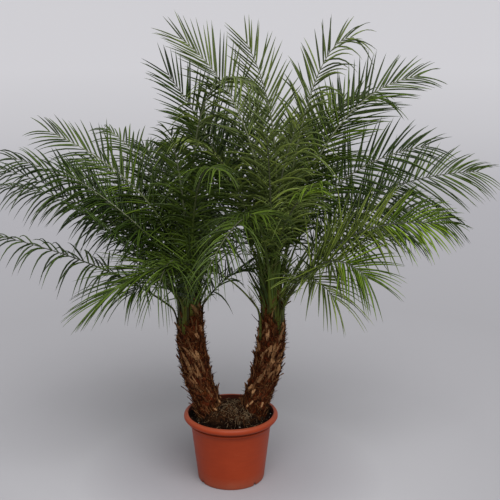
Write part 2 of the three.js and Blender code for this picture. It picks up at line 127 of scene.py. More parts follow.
# %% Finishes
class Finish:
    """A material round one Principled shader."""

    def __init__(self, name, roughness, gloss, colour="808080"):
        self.material = bpy.data.materials.new(name)
        self.material.use_nodes = True
        self.tree = self.material.node_tree
        self.shader = self.tree.nodes["Principled BSDF"]
        self.give(self.shader, {"Base Color": colour, "Roughness": roughness, "Specular IOR Level": gloss})
        self.place = self.node("ShaderNodeTexCoord", out="Object")

    def give(self, node, values):
        """Links or sets the sockets of a node. A string is the code of a colour."""
        for socket, value in values.items():
            if isinstance(value, Wire):
                self.tree.links.new(value.socket, node.inputs[socket])
            else:
                node.inputs[socket].default_value = tint(value) if isinstance(value, str) else value

    def node(self, kind, settings=None, values=None, out=0):
        """Adds a node, with its settings first and then the values or links of its sockets."""
        node = self.tree.nodes.new(kind)
        for name, value in (settings or {}).items():
            if name == "stops":
                ramp = node.color_ramp.elements
                while len(ramp) < len(value):
                    ramp.new(0.5)
                for element, (position, code) in zip(ramp, value):
                    element.position, element.color = position, tint(code)
            else:
                setattr(node, name, value)
        self.give(node, values or {})
        return Wire(self, node.outputs[out])

    def noise(self, scale, detail, roughness, stretch=(1, 1, 1), distortion=0.0):
        """Cloudy noise from 0 to 1 in the object's own coordinates. A stretch below 1 draws it out."""
        vector = self.node("ShaderNodeMapping", None, {"Vector": self.place, "Scale": stretch})
        values = {"Vector": vector, "Scale": scale, "Detail": detail, "Roughness": roughness}
        return self.node("ShaderNodeTexNoise", None, values | {"Distortion": distortion})

    def step(self, value, low, high):
        """0 below low, 1 above high and a smooth rise between them."""
        values = {"Value": value, "From Min": low, "From Max": high}
        return self.node("ShaderNodeMapRange", {"interpolation_type": "SMOOTHSTEP"}, values)

    def ramp(self, value, *stops):
        """Colours at their positions, blended between them."""
        return self.node("ShaderNodeValToRGB", {"stops": stops}, {"Fac": value})

    def cover(self, base, *layers):
        """A base colour with others laid over it in turn, each by its share from 0 to 1."""
        for share, colour in layers:
            base = self.node("ShaderNodeMix", {"data_type": "RGBA"}, {0: share, 6: base, 7: colour}, out=2)
        return base

    def attribute(self, name):
        """A number that the mesh stores at each of its points."""
        return self.node("ShaderNodeAttribute", {"attribute_name": name}, out="Fac")

    def height(self):
        """The Z of the object's own coordinates, in metres."""
        return self.node("ShaderNodeSeparateXYZ", None, {"Vector": self.place}, out="Z")

    def skin(self, colour, relief=None, depth=0.0, strength=1.0):
        """Gives the shader its colour and, where there is a relief, a bump so many metres deep."""
        self.give(self.shader, {"Base Color": colour})
        if relief is not None:
            values = {"Height": relief, "Distance": depth, "Strength": strength}
            self.give(self.shader, {"Normal": self.node("ShaderNodeBump", None, values)})
        return self


print("a finish can add:", [name for name in vars(Finish) if not name.startswith("_")])

# %% [markdown]
# ## A short hand for meshes
# Every piece is a set of surfaces worked out as whole arrays: a ring of corners is carried along a path, and
# the same arithmetic makes one tube or two thousand. A surface is its points and a list of face arrays. The
# helper that makes a piece of it counts the triangles, and the volume, which is positive only where the
# faces point outwards.
# %% From surfaces to pieces
def volume(points, faces):
    """The sum of a . (b x c) / 6 over the triangles a, b, c of a surface, each from the origin."""
    total = 0.0
    for f in faces:
        for last in range(2, f.shape[1]):
            corners = points[f[:, 0]], points[f[:, last - 1]], points[f[:, last]]
            total += np.einsum("ij,ij->", corners[0], np.cross(*corners[1:])) / 6
    return total


def add_piece(name, surface, finishes, stands_for=(), marks=None, which=None, smooth=True):
    """An object from a surface. marks are numbers stored at its points, and which is the index of each
    face's finish."""
    mesh = bpy.data.meshes.new(name)
    points, faces = np.asarray(surface[0], np.float32).reshape(-1, 3), surface[1]
    loops = np.concatenate([f.ravel() for f in faces]).astype(np.int32)
    widths = np.concatenate([np.full(len(f), f.shape[1]) for f in faces])
    mesh.vertices.add(len(points))
    mesh.vertices.foreach_set("co", points.ravel())
    mesh.loops.add(len(loops))
    mesh.loops.foreach_set("vertex_index", loops)
    mesh.polygons.add(len(widths))
    mesh.polygons.foreach_set("loop_start", np.concatenate([[0], np.cumsum(widths)[:-1]]).astype(np.int32))
    mesh.polygons.foreach_set("use_smooth", np.full(len(widths), smooth))
    for finish in finishes:
        mesh.materials.append(finish.material)
    if which is not None:
        mesh.polygons.foreach_set("material_index", np.asarray(which, np.int32))
    mesh.update(calc_edges=True)
    for mark, values in (marks or {}).items():
        layer = mesh.attributes.new(mark, "FLOAT", "POINT")
        layer.data.foreach_set("value", np.asarray(values, np.float32).ravel())
    piece = bpy.data.objects.new(name, mesh)
    bpy.context.scene.collection.objects.link(piece)
    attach(piece, "root")
    if stands_for:
        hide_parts(*stands_for)
    size = volume(points, faces) * 1e6
    print(f"{name}: {int((widths - 2).sum())} triangles, {size:.1f} cubic centimetres")


# %% Rings and tubes
def around(count, shift=0.0):
    """The angles of so many even steps round a circle, in radians."""
    return (np.arange(count) + shift) / count * 2 * np.pi


def polar(turn, radius, z, x=0.0):
    """Points at an angle, a radius and a height about an upright axis at x."""
    return np.stack(np.broadcast_arrays(x + radius * np.cos(turn), radius * np.sin(turn), z), -1)


def loft(rings, start, end):
    """Closed tubes from rings of corners, as an array (tubes, rings, corners, 3), each closed by a fan to its
    start and one to its end. The corners run anticlockwise as seen from the end."""
    tubes, count, corners = rings.shape[:3]
    whole = count * corners
    points = np.concatenate([rings.reshape(tubes, whole, 3), start[:, None], end[:, None]], axis=1)
    here = np.arange(corners)
    after = (here + 1) % corners
    low = np.arange(count - 1)[:, None] * corners
    quads = np.stack([low + here, low + after, low + corners + after, low + corners + here], -1)
    last = whole - corners
    fans = [np.stack([after, here, here * 0 + whole], -1)]
    fans.append(np.stack([last + here, last + after, here * 0 + whole + 1], -1))
    tube = np.arange(tubes)[:, None, None] * (whole + 2)
    quads = (quads.reshape(1, -1, 4) + tube).reshape(-1, 4)
    fans = (np.concatenate(fans)[None] + tube).reshape(-1, 3)
    return points.reshape(-1, 3), [quads, fans]


def one_loft(rings, start, end):
    """The loft of a single tube, from its rings and two points."""
    return loft(rings[None], np.array([start]), np.array([end]))


print("a ring of four:", np.round(polar(around(4), 1, 0), 3).tolist())

# %% [markdown]
# ## The pot
# The pot is one injection-moulded shell: a foot, a slightly conical wall, a band under the rim and a rim that
# is rolled outwards. It is a solid of revolution, so a profile of radius and height is turned about the
# axis. The stretches that are round in the mould are arcs here. Small notches in the foot let water out.
# %% The pot's profile
POT_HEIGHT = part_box("pot")[1].z
POT_WALL = 0.004
POT_FLOOR = 0.0065
RIM_RADIUS = 0.150
RIM_TUBE = 0.010  # radius of the roll
MOUTH_RADIUS = 0.137
MOUTH_ROUND = 0.0022  # radius of the roll's inner edge
NECK_RADIUS = 0.128
STEP_HEIGHT = POT_HEIGHT - 0.034
BAND_RADIUS = NECK_RADIUS + 0.0062
BAND_ROUNDS = (0.0010, 0.0014)  # radii of the band's lower and upper edges
GROOVE_RADIUS = BAND_RADIUS - 0.0038
FOOT_RADIUS = 0.106
FOOT_RECESS = 0.004  # height of the hollow under the pot
FOOT_EDGE = ((-0.010, FOOT_RECESS), (-0.008, 0.0005), (-0.007, 0), (-0.0025, 0), (-0.0007, 0.0012))


def arc(centre, radius, start, end, count):
    """Points of an arc in the profile's plane, from start to end in degrees."""
    turn = np.radians(np.linspace(start, end, count))
    return np.stack([centre[0] + radius * np.cos(turn), centre[1] + radius * np.sin(turn)], -1)


def pot_profile():
    """Radius and height from the middle of the underside, up the outside, over the roll and down inside."""
    heights = np.linspace(0.004, STEP_HEIGHT - 0.002, 14)
    wall = FOOT_RADIUS + (NECK_RADIUS - FOOT_RADIUS) * heights / STEP_HEIGHT
    low, high = BAND_ROUNDS
    return np.concatenate([
        [[0, FOOT_RECESS]],
        np.array(FOOT_EDGE) + [FOOT_RADIUS, 0],
        np.stack([wall, heights], -1),
        arc((BAND_RADIUS - low, STEP_HEIGHT + 0.0012), low, -90, 0, 5),
        arc((BAND_RADIUS - high, STEP_HEIGHT + 0.0030), high, 0, 80, 5),
        [[GROOVE_RADIUS + 0.0004, STEP_HEIGHT + 0.0056], [GROOVE_RADIUS, STEP_HEIGHT + 0.0095]],
        arc((RIM_RADIUS - RIM_TUBE, POT_HEIGHT - RIM_TUBE), RIM_TUBE, -140, 95, 30),
        arc((MOUTH_RADIUS + 0.0012, POT_HEIGHT - MOUTH_ROUND), MOUTH_ROUND, 110, 180, 5),
        [[MOUTH_RADIUS - 0.002, POT_HEIGHT - 0.010], [BAND_RADIUS - POT_WALL, POT_HEIGHT - 0.022]],
        [[NECK_RADIUS - POT_WALL, STEP_HEIGHT]],
        np.stack([wall - POT_WALL, heights], -1)[:0:-1],
        [[0, POT_FLOOR]],
    ])


print("pot", round(POT_HEIGHT, 3), "m tall, turned from", len(pot_profile()), "points")

# %% The pot's mesh
POT_SIDES = 216
NOTCHES = (84, 214, 316)  # degrees from +X
NOTCH_HALF = 0.065  # half a notch's width, in radians
NOTCH_LIFT = 0.009
# painted shade in the groove below the rim: its span above the step and how dark it is
GROOVE_SPAN = (0.005, 0.016)  # above the step
GROOVE_PAINTED_SHADE = 0.45


def pot_surface():
    """The profile turned about the axis, and how dark each point is painted: darker inside the pot, and
    painted shade under its foot, which shows through the notches, and in the groove below the rim. Near a
    notch the foot's lowest points are lifted to 9 mm * (1 - (angle from the notch / half its width) ** 2)."""
    profile = pot_profile()
    turn = around(POT_SIDES)
    radius, height = profile[1:-1, :1], profile[1:-1, 1:]
    off = (turn - np.radians(NOTCHES)[:, None] + np.pi) % (2 * np.pi) - np.pi
    lift = NOTCH_LIFT * np.clip(1 - (off / NOTCH_HALF) ** 2, 0, 1).max(0)
    lifted = np.maximum(height, np.where(height < NOTCH_LIFT, lift, 0))
    ends = [(0, 0, z) for z in profile[[0, -1], 1]]
    row, rim_row = np.arange(len(radius)), np.argmax(profile[:, 1])
    above_step = height[:, 0] - STEP_HEIGHT
    groove = (row < rim_row) & (above_step > GROOVE_SPAN[0]) & (above_step < GROOVE_SPAN[1])
    # painted shade under the foot and in the groove below the rim, and darker inside the pot
    hidden = (row < 3) | (row > rim_row + 3)
    dark = np.where(hidden, 1, groove * GROOVE_PAINTED_SHADE)
    return one_loft(polar(turn, radius, lifted), *ends), np.append(np.repeat(dark, POT_SIDES), [1, 1])


pot, pot_dark = pot_surface()
print(int((pot_dark == 1).sum()), "of the pot's", len(pot_dark), "points are hidden and dark")

# %% [markdown]
# Terracotta-coloured plastic is never one flat red. Its skin has the faint satin grain of the mould, the
# lathe-like ripples of the flow, dull scuffs and long scratches, and a breath of dust and lime near the foot.
# The top of the rim is paler, a painted highlight, the groove below the rim and the underside get painted
# shade, and inside the pot it is darker. Each of these is a mask with a colour of its own.
# %% The pot's finish
def terracotta_plastic():
    """Two reds in clouds and ripples, with the masks of wear, a painted highlight and painted shade laid over
    them.
    """
    finish = Finish("terracotta_plastic", 0.5, 0.18)
    flow = finish.noise(38, 3, 0.5, stretch=(0.5, 0.5, 4))
    scuff = finish.step(finish.noise(70, 5, 0.7, stretch=(0.4, 0.4, 3.2)), 0.57, 0.72)
    scratch = finish.step(finish.noise(55, 3, 0.6, stretch=(0.12, 0.12, 7)), 0.60, 0.70)
    height = finish.height()
    dust = (1 - finish.step(height, 0.0, 0.05)) * finish.noise(30, 4, 0.7)
    # painted highlight: the top of the roll is paler, where the lamp falls on it
    painted_rim_highlight = finish.step(height, 0.2145, 0.2225)
    reds = finish.ramp(finish.noise(9, 3, 0.6) * 0.6 + flow * 0.4, (0.3, "953619"), (0.7, "a23d1d"))
    colour = finish.cover(
        reds, (scuff * 0.35, "a4502f"), (dust * 0.55, "9a6a54"), (scratch * 0.3, "6e2f1c"),
        # a painted highlight on the top of the rim, then painted shade under the foot and in the groove, and
        # darker inside
        (painted_rim_highlight * 0.4, "a35a41"), (finish.attribute("dark") * 0.85, "220e08"),
    )
    finish.give(finish.shader, {"Roughness": 0.40 + scuff * 0.2 + dust * 0.25 + flow * 0.06})
    return finish.skin(colour, flow * 0.5 + finish.noise(900, 2, 0.5) * 0.12 + scuff * 0.1, 0.0006, 0.55)


marks = {"dark": pot_dark}
add_piece("pot_shell", pot, [terracotta_plastic()], ["pot"], marks=marks)

# %% [markdown]
# ## The soil
# Potting peat settles into soft hollows and crumbs, and stands a little higher at the pot's wall. A grid of
# rings and spokes carries the relief, and a skirt closes it deep in the pot. Crumbs of peat, a few white
# grains of perlite and chips of bark lie on it as small faceted stones.
# %% Relief
def relief(dice, turn, height, layers):
    """Smooth random relief in metres. Each layer has a number of sine waves, which go a whole number of
    rounds about the axis within a range and rise by up to so many radians a metre. Their sum is divided by
    the square root of their number and multiplied by the layer's size."""
    total = 0
    for waves, rounds, rises, size in layers:
        m = dice.integers(rounds[0], rounds[1] + 1, waves)[:, None, None]
        n = dice.uniform(-1, 1, waves)[:, None, None] * rises
        shift = dice.uniform(0, 2 * np.pi, waves)[:, None, None]
        total = total + np.sin(m * turn + n * height + shift).sum(0) / np.sqrt(waves) * size
    return total


flat_ring = relief(np.random.default_rng(0), around(360), 0.0, [(20, (1, 9), 0, 1.0)])
print("a relief of size 1 reaches from", round(flat_ring.min(), 2), "to", round(flat_ring.max(), 2))

# %% The soil's mesh and finish
SOIL_TOP = 0.205
SOIL_FOOT, SOIL_SHOULDER = 0.030, 0.192  # heights of the skirt's two rings
SOIL_NECK = NECK_RADIUS - POT_WALL + 0.001  # it pushes a little into the wall, so no gap shows
SOIL_EDGE = MOUTH_RADIUS - 0.003
SOIL_TAPER = 0.84  # the skirt's foot is this share as wide as its shoulder
SOIL_CALM = 0.03  # the relief fades out towards the middle within this radius
SOIL_BANK = 0.006  # it stands this much higher at the wall
SOIL_RINGS = 34
SOIL_SIDES = 120
SOIL_SEED = 4
SOIL_RELIEF = ((12, (1, 5), 60, 0.0022), (20, (6, 20), 260, 0.0017), (30, (20, 55), 800, 0.0012))
HOLLOW_PLACE, HOLLOW_HALF, HOLLOW_DEPTH = (0.03, -0.112), (0.05, 0.02), 0.006  # in front of the clump


def soil_height(x, y):
    """Height of the peat: its level and relief, a bank by (radius / edge) ** 6 towards the wall, and a
    hollow by exp(-(x / half) ** 2 - (y / half) ** 2) from its own middle."""
    turn, radius = np.arctan2(y, x), np.hypot(x, y)
    rough = relief(np.random.default_rng(SOIL_SEED), turn, radius, SOIL_RELIEF)
    rough = rough * np.clip(radius / SOIL_CALM, 0, 1)
    bank = SOIL_BANK * np.clip(radius / SOIL_EDGE, 0, 1) ** 6
    off_x, off_y = (x - HOLLOW_PLACE[0]) / HOLLOW_HALF[0], (y - HOLLOW_PLACE[1]) / HOLLOW_HALF[1]
    return SOIL_TOP - 0.001 + rough + bank - HOLLOW_DEPTH * np.exp(-(off_x**2) - off_y**2)


def soil_surface():
    """Rings from the skirt's foot up to the edge and in to the middle of the top. The skirt narrows downwards
    as the pot does."""
    turn = around(SOIL_SIDES)
    radius = SOIL_EDGE * np.linspace(1, 0.02, SOIL_RINGS)[:, None]
    x, y = radius * np.cos(turn), radius * np.sin(turn)
    top = np.stack([x, y, soil_height(x, y)], -1)
    skirt = [polar(turn, SOIL_TAPER * SOIL_NECK, SOIL_FOOT), polar(turn, SOIL_NECK, SOIL_SHOULDER)]
    return one_loft(np.concatenate([skirt, top]), (0, 0, SOIL_FOOT), (0, 0, top[-1, :, 2].mean()))


def peat():
    """Nearly black clods with paler fibres."""
    finish = Finish("peat", 0.95, 0.06)
    clods = finish.noise(140, 6, 0.65)
    fibre = finish.step(finish.noise(420, 3, 0.5, stretch=(1, 0.35, 1), distortion=1.4), 0.62, 0.74)
    browns = finish.ramp(clods, (0.36, "080403"), (0.58, "130b07"), (0.78, "2c1e14"))
    return finish.skin(finish.cover(browns, (fibre * 0.4, "5f4a36")), clods + fibre * 0.3, 0.002, 0.9)


add_piece("peat_top", soil_surface(), [peat()], ["soil"])

# %% Stones
STONE = np.array([  # the twelve corners of a regular twenty-sided solid, before they are made uneven
    [-1, 1.618, 0], [1, 1.618, 0], [-1, -1.618, 0], [1, -1.618, 0],
    [0, -1, 1.618], [0, 1, 1.618], [0, -1, -1.618], [0, 1, -1.618],
    [1.618, 0, -1], [1.618, 0, 1], [-1.618, 0, -1], [-1.618, 0, 1],
]) / 1.902
STONE_FACES = np.array([
    [0, 11, 5], [0, 5, 1], [0, 1, 7], [0, 7, 10], [0, 10, 11], [1, 5, 9], [5, 11, 4], [11, 10, 2],
    [10, 7, 6], [7, 1, 8], [3, 9, 4], [3, 4, 2], [3, 2, 6], [3, 6, 8], [3, 8, 9], [4, 9, 5],
    [2, 4, 11], [6, 2, 10], [8, 6, 7], [9, 8, 1],
])


def unit(vectors):
    """Each vector divided by its own length."""
    return vectors / np.linalg.norm(vectors, axis=-1, keepdims=True)


def turns(dice, count):
    """Random rotations as matrices, each from a random unit quaternion w, x, y, z."""
    w, x, y, z = unit(dice.normal(size=(count, 4))).T
    return np.stack([
        np.stack([1 - 2 * (y * y + z * z), 2 * (x * y - w * z), 2 * (x * z + w * y)], -1),
        np.stack([2 * (x * y + w * z), 1 - 2 * (x * x + z * z), 2 * (y * z - w * x)], -1),
        np.stack([2 * (x * z - w * y), 2 * (y * z + w * x), 1 - 2 * (x * x + y * y)], -1),
    ], -2)


def stones(dice, places, sizes, shape):
    """Uneven twenty-sided stones: each corner moves in or out by up to a quarter, and the stone is squeezed
    to its shape and turned at random."""
    count = len(places)
    corners = STONE * dice.uniform(0.75, 1.2, (count, 12, 1)) * np.asarray(shape) * sizes[:, None, None]
    corners = np.einsum("nij,nkj->nki", turns(dice, count), corners) + places[:, None]
    faces = STONE_FACES + 12 * np.arange(count)[:, None, None]
    return corners.reshape(-1, 3), [faces.reshape(-1, 3)]


print("a stone has", len(STONE), "corners and", len(STONE_FACES), "faces")

# %% Crumbs on the soil
MM = 0.001
CRUMB_MARGIN = 0.006  # they and the roots keep this far from the soil's edge
CRUMB_FROM = 0.15  # share of the soil's area, round the middle, that they leave bare


def on_soil(dice, count):
    """Random places on the peat, evenly spread over its area."""
    turn = dice.uniform(0, 2 * np.pi, count)
    radius = (SOIL_EDGE - CRUMB_MARGIN) * np.sqrt(dice.uniform(CRUMB_FROM, 1, count))
    x, y = radius * np.cos(turn), radius * np.sin(turn)
    return np.stack([x, y, soil_height(x[None], y[None])[0]], -1)


CRUMBS = {  # name: number, sizes in mm, squeezed to, colour
    "perlite": (46, (0.9, 2.2), (1, 0.9, 0.8), "d8d3c4"),
    "peat_crumbs": (620, (1.2, 3.6), (1, 0.8, 0.6), "150e0a"),
    "bark_chips": (90, (1.8, 4.6), (1, 0.5, 0.22), "45301f"),
}
for seed, (name, (count, sizes, shape, code)) in enumerate(CRUMBS.items(), 20):
    dice = np.random.default_rng(seed)
    size = dice.uniform(*sizes, count) * MM
    surface = stones(dice, on_soil(dice, count), size, shape)
    add_piece(name, surface, [Finish(name, 0.9, 0.1, code)], smooth=False)

# %% [markdown]
# ## The trunks
# A pygmy date palm keeps the stubs of its old leaves. They sit round the trunk in the spiral that most plants
# follow: each is turned from the one below by the golden angle, 137.5 degrees, and a few millimetres higher.
# Between them is a mat of reddish-brown fibre. The trunk here is a core whose relief and finish are that mat,
# and the stubs and the loose hairs are pieces of their own.
# %% The trunks' axes and radii
SIDES = {"left": -1, "right": 1}
AXES = {  # rows of height and distance from the middle, in mm
    -1: [[200, 61], [282, 83], [323, 99], [363, 109], [444, 121], [503, 125], [706, 125]],
    1: [[200, 63], [282, 87], [323, 101], [363, 113], [444, 126], [503, 130], [706, 131]],
}
BARK_RADII = [[200, 50], [222, 46], [260, 44], [440, 44], [520, 40], [548, 35]]
TRUNK_RADII = [*BARK_RADII, [610, 27], [665, 17], [706, 5]]
BARK_TOP = 0.548
SHAFT_TOP = 0.706


def table(rows, z):
    """Straight lines between rows of [height, value], both in millimetres in the rows and metres outside."""
    heights, values = np.array(rows, float).T * MM
    return np.interp(z, heights, values)


def lean(side, z):
    """Sideways place of a trunk's axis at height z."""
    return side * table(AXES[side], z)


def round_trunk(side, turn, z, radius):
    """Points at an angle, height and radius about a trunk's leaning axis."""
    return polar(turn, radius, z, lean(side, z))


print("half way up, the trunks' axes are at", [round(float(lean(side, 0.5)), 3) for side in SIDES.values()])

# %% The trunk's core
CORE_SIDES = 132
CORE_RINGS = 210
CORE_FOOT = 0.197
CORE_SINK = 0.003  # the core lies this far inside the middle of the mat
CORE_RELIEF = (  # long upright fibres, small knots and broad swellings
    (40, (14, 44), 90, 0.0011), (40, (6, 22), 420, 0.0013), (10, (1, 4), 60, 0.0012),
)


def core_surface(side):
    """Radius at angle and height: the bare radius less the sink, plus a relief, both of which fade out up
    the green shaft."""
    turn = around(CORE_SIDES)
    z = np.linspace(CORE_FOOT, SHAFT_TOP, CORE_RINGS)[:, None]
    fade = np.interp(z, [BARK_TOP, SHAFT_TOP], [1, 0.15])
    rough = relief(np.random.default_rng(30 + side), turn, z, CORE_RELIEF)
    radius = table(TRUNK_RADII, z) - CORE_SINK * fade + rough * fade
    rings = round_trunk(side, turn, z, np.maximum(radius, 0.001))
    ends = round_trunk(side, 0.0, np.array([CORE_FOOT, SHAFT_TOP]), 0.0)
    return one_loft(rings, *ends)


def bark_mat():
    """Dark reddish-brown matted fibre, paler and redder in streaks, and olive green up the shaft."""
    finish = Finish("bark_mat", 0.92, 0.06)
    streak = finish.noise(230, 5, 0.6, stretch=(1, 1, 0.16), distortion=0.6)
    patch = finish.noise(46, 3, 0.6)
    browns = finish.ramp(streak, (0.34, "180a03"), (0.52, "42200d"), (0.72, "74401d"))
    shaft = finish.step(finish.height() + patch * 0.08, 0.62, 0.72)
    colour = finish.cover(browns, (finish.step(patch, 0.45, 0.65) * 0.65, "70301a"), (shaft, "2b3012"))
    return finish.skin(colour, streak, 0.0016, 0.9)


mat = bark_mat()
for word, side in SIDES.items():
    add_piece(f"trunk_core_{word}", core_surface(side), [mat], [f"trunk_{word}"])

# %% [markdown]
# ### The feet of old leaves
# Every leaf that is gone has left its foot on the trunk: a tongue of wood and fibre that points upwards. Most
# tongues have torn off raggedly and lean out a little, a few are long pale strips, and one in eight was cut
# with a knife and ends in a pale oval. In the mesh, a torn tongue narrows to its end, and a cut one grows
# thicker until everything beyond the plane of the cut is pressed back on to it.
# %% The feet's places
GOLDEN_TURN = np.pi * (3 - np.sqrt(5))
STUB_FOOT, STUB_TOP = 0.212, 0.600
STUB_RISE = 0.0025  # each foot is this much higher than the one before
STUB_START = {-1: 0.4, 1: 1.9}  # angle of the first one on each side, in radians


def stub_places(side, dice):
    """Angle and height of every foot on a trunk, by the golden angle, a little out of true."""
    z = np.arange(STUB_FOOT, STUB_TOP, STUB_RISE)
    turn = STUB_START[side] + side * GOLDEN_TURN * np.arange(len(z))
    return turn + dice.normal(0, 0.12, len(z)), z + dice.normal(0, 0.004, len(z))


print(len(np.arange(STUB_FOOT, STUB_TOP, STUB_RISE)), "feet on each trunk")

# %% The shape of a foot
CUT_SHARE = 0.12
FOOT_LENGTHS = (30, 42), (26, 62)  # in mm, of cut feet and of torn ones
FOOT_HALVES = (4.0, 6.5), (3.5, 9.0)  # half widths in mm, likewise
FOOT_THICKS = (0.75, 1.1), (0.7, 1.3)  # shares of the usual thickness, likewise
FOOT_LIFT = (9, 3)  # how far torn ones stand off, in mm: usual spread, and least
FOOT_SLANT = (0.2, 0.25)  # radians off upright: usual, and spread
CUT_SLOPE = (11, 19)  # mm by which the plane of a cut leans back, for a whole foot
LOW_TOP, LOW_SPAN = 0.36, 0.12  # feet below this height get smaller and darker, over this span
STRIP_PALE = 0.8
# large pale strips at the front: angle in degrees, height, length and half width in mm, slant, 1 if cut
LONG_STRIPS = {
    "left": [
        (-120, 402, 92, 6.5, -0.3, 0), (-76, 372, 58, 6, -0.2, 0), (-67, 420, 40, 6, -0.05, 1),
        (-99, 436, 46, 5.5, -0.35, 0), (-95, 330, 60, 5, -0.2, 0),
    ],
    "right": [
        (-62, 472, 92, 7, 0.46, 0), (-38, 418, 76, 6, 0.45, 0), (-110, 489, 40, 6.5, 0, 1),
        (-94, 438, 40, 4.5, 0.1, 1), (-121, 415, 44, 4.5, 0.1, 0), (-77, 362, 46, 5, 0.3, 0),
        (-84, 400, 56, 5.5, 0.2, 0), (-68, 440, 54, 5, 0.3, 0), (-101, 376, 48, 5, 0.2, 0),
    ],
}


class Feet:
    """The places and sizes of all feet on a trunk, as columns (count, 1, 1). Those low down are smaller and
    darker. The long strips come last and have sizes of their own."""

    def __init__(self, word, side, dice):
        turn, z = stub_places(side, dice)
        strips = np.array(LONG_STRIPS[word], float)
        self.turn = np.append(turn, np.radians(strips[:, 0]))[:, None, None]
        self.z = np.append(z, strips[:, 1] * MM)[:, None, None]
        self.count = len(self.z)
        column = (self.count, 1, 1)
        low = np.clip((LOW_TOP - self.z) / LOW_SPAN, 0, 1)

        def with_strips(values, own):
            values[-len(strips) :, 0, 0] = own
            return values

        def draw(ranges):
            cut, torn = [dice.uniform(*span, column) for span in ranges]
            return np.where(self.is_cut, cut, torn)

        self.is_cut = with_strips(dice.random(column) < CUT_SHARE, strips[:, 5])
        pale = dice.random(column) ** 3.3 * 1.2 * (1 - 0.5 * low)
        self.pale = with_strips(np.clip(pale, 0, 1), STRIP_PALE)
        self.length = with_strips(draw(FOOT_LENGTHS) * (1 - 0.3 * low), strips[:, 2]) * MM
        self.half = with_strips(draw(FOOT_HALVES) * (1 - 0.2 * low), strips[:, 3]) * MM
        self.thick = draw(FOOT_THICKS)
        self.lift = (np.abs(dice.normal(0, FOOT_LIFT[0], column)) + FOOT_LIFT[1]) * MM
        self.slope = dice.uniform(*CUT_SLOPE, column)
        slant = dice.normal(FOOT_SLANT[0] * side, FOOT_SLANT[1], column)
        self.skew = with_strips(slant, strips[:, 4])


def torn_tongue(feet, v, spin, ragged):
    """Sideways and outward place of a torn tongue's corners at a share v of its length. On each side it is
    half * (1 - 0.35 v) * (1 - 0.95 v ** 3) ** 0.7 wide. It is 4 - 2.4 v mm thick in front and 5 - 4.2 v mm
    behind, and stands off by lift * v ** 2."""
    aside = feet.half * (1 - 0.35 * v) * (1 - 0.95 * v**3) ** 0.7 * np.cos(spin) * ragged
    thick = np.where(np.sin(spin) > 0, (4.0 - 2.4 * v) * feet.thick, 5.0 - 4.2 * v)
    return aside, feet.lift * v**2 + thick * np.sin(spin) * MM * ragged


def cut_tongue(feet, v, spin):
    """The same for a cut one, and whether each corner lies in the cut. It widens from 0.35 of its half width
    to all of it at v = 0.55, and loses a quarter from v = 0.6 on. It is 3 + 13 v mm thick and pressed back to
    the plane 10.5 - slope (v - 0.45) mm."""
    widening, narrowing = np.clip(v / 0.55, 0, 1), np.clip(v / 0.4 - 1.5, 0, 1)
    wide = (0.35 + 0.65 * np.sin(np.pi / 2 * widening)) * (1 - 0.25 * narrowing)
    raised = (3 + 13 * v) * MM * feet.thick
    plane = (10.5 * feet.thick - feet.slope * (v - 0.45)) * MM
    outward = np.where(np.sin(spin) > 0, raised * np.abs(np.sin(spin)) ** 0.8, -0.005)
    in_cut = (outward > plane) & (v > 0.3)
    return feet.half * wide * np.cos(spin), np.where(in_cut, plane, outward), in_cut


print("and", [len(strips) for strips in LONG_STRIPS.values()], "long strips")

# %% The feet's mesh
STUB_CORNERS = 12
STUB_RINGS = 10
FOOT_RAGGED = (0.7, 1.2)  # shares by which a torn one's corners are uneven
YOUNG_FOOT, YOUNG_SPAN = 0.50, 0.08  # feet above this height get greener, over this span


def stub_surfaces(word, side):
    """All tongues of a trunk, each from 0.4 of its length below its place to 0.6 above, turned by its slant
    and laid round the trunk. With them come the marks of the cut faces, of pale ones and of young ones."""
    dice = np.random.default_rng(50 + side)
    feet = Feet(word, side, dice)
    v = np.linspace(0, 1, STUB_RINGS)[None, :, None]
    spin = around(STUB_CORNERS, 0.5)
    ragged = dice.uniform(*FOOT_RAGGED, (feet.count, STUB_RINGS, STUB_CORNERS))
    *cut, in_cut = cut_tongue(feet, v, spin)
    torn = torn_tongue(feet, v, spin, ragged)
    aside, outward = [np.where(feet.is_cut, *either) for either in zip(cut, torn)]
    upward = (v - 0.4) * feet.length + (ragged - 1) * 0.008 * v * (1 - feet.is_cut)
    height = feet.z + upward * np.cos(feet.skew) - aside * np.sin(feet.skew)
    base = table(TRUNK_RADII, height) - CORE_SINK
    turn = feet.turn + (aside * np.cos(feet.skew) + upward * np.sin(feet.skew)) / base
    rings = round_trunk(side, turn, height, base + outward)[:, :, ::-1]
    corners = STUB_RINGS * STUB_CORNERS
    in_cut = (in_cut & feet.is_cut)[:, :, ::-1].reshape(feet.count, corners)
    youth = np.clip((feet.z - YOUNG_FOOT) / YOUNG_SPAN, 0, 1)
    youth = youth + dice.normal(0, 0.12, (feet.count, 1, 1))
    marks = {
        "cut": np.concatenate([in_cut, np.zeros((feet.count, 2))], 1),
        "pale": np.repeat(feet.pale, corners + 2),
        "youth": np.repeat(np.clip(youth, 0, 1), corners + 2),
    }
    return loft(rings, rings[:, 0].mean(1), rings[:, -1].mean(1)), marks


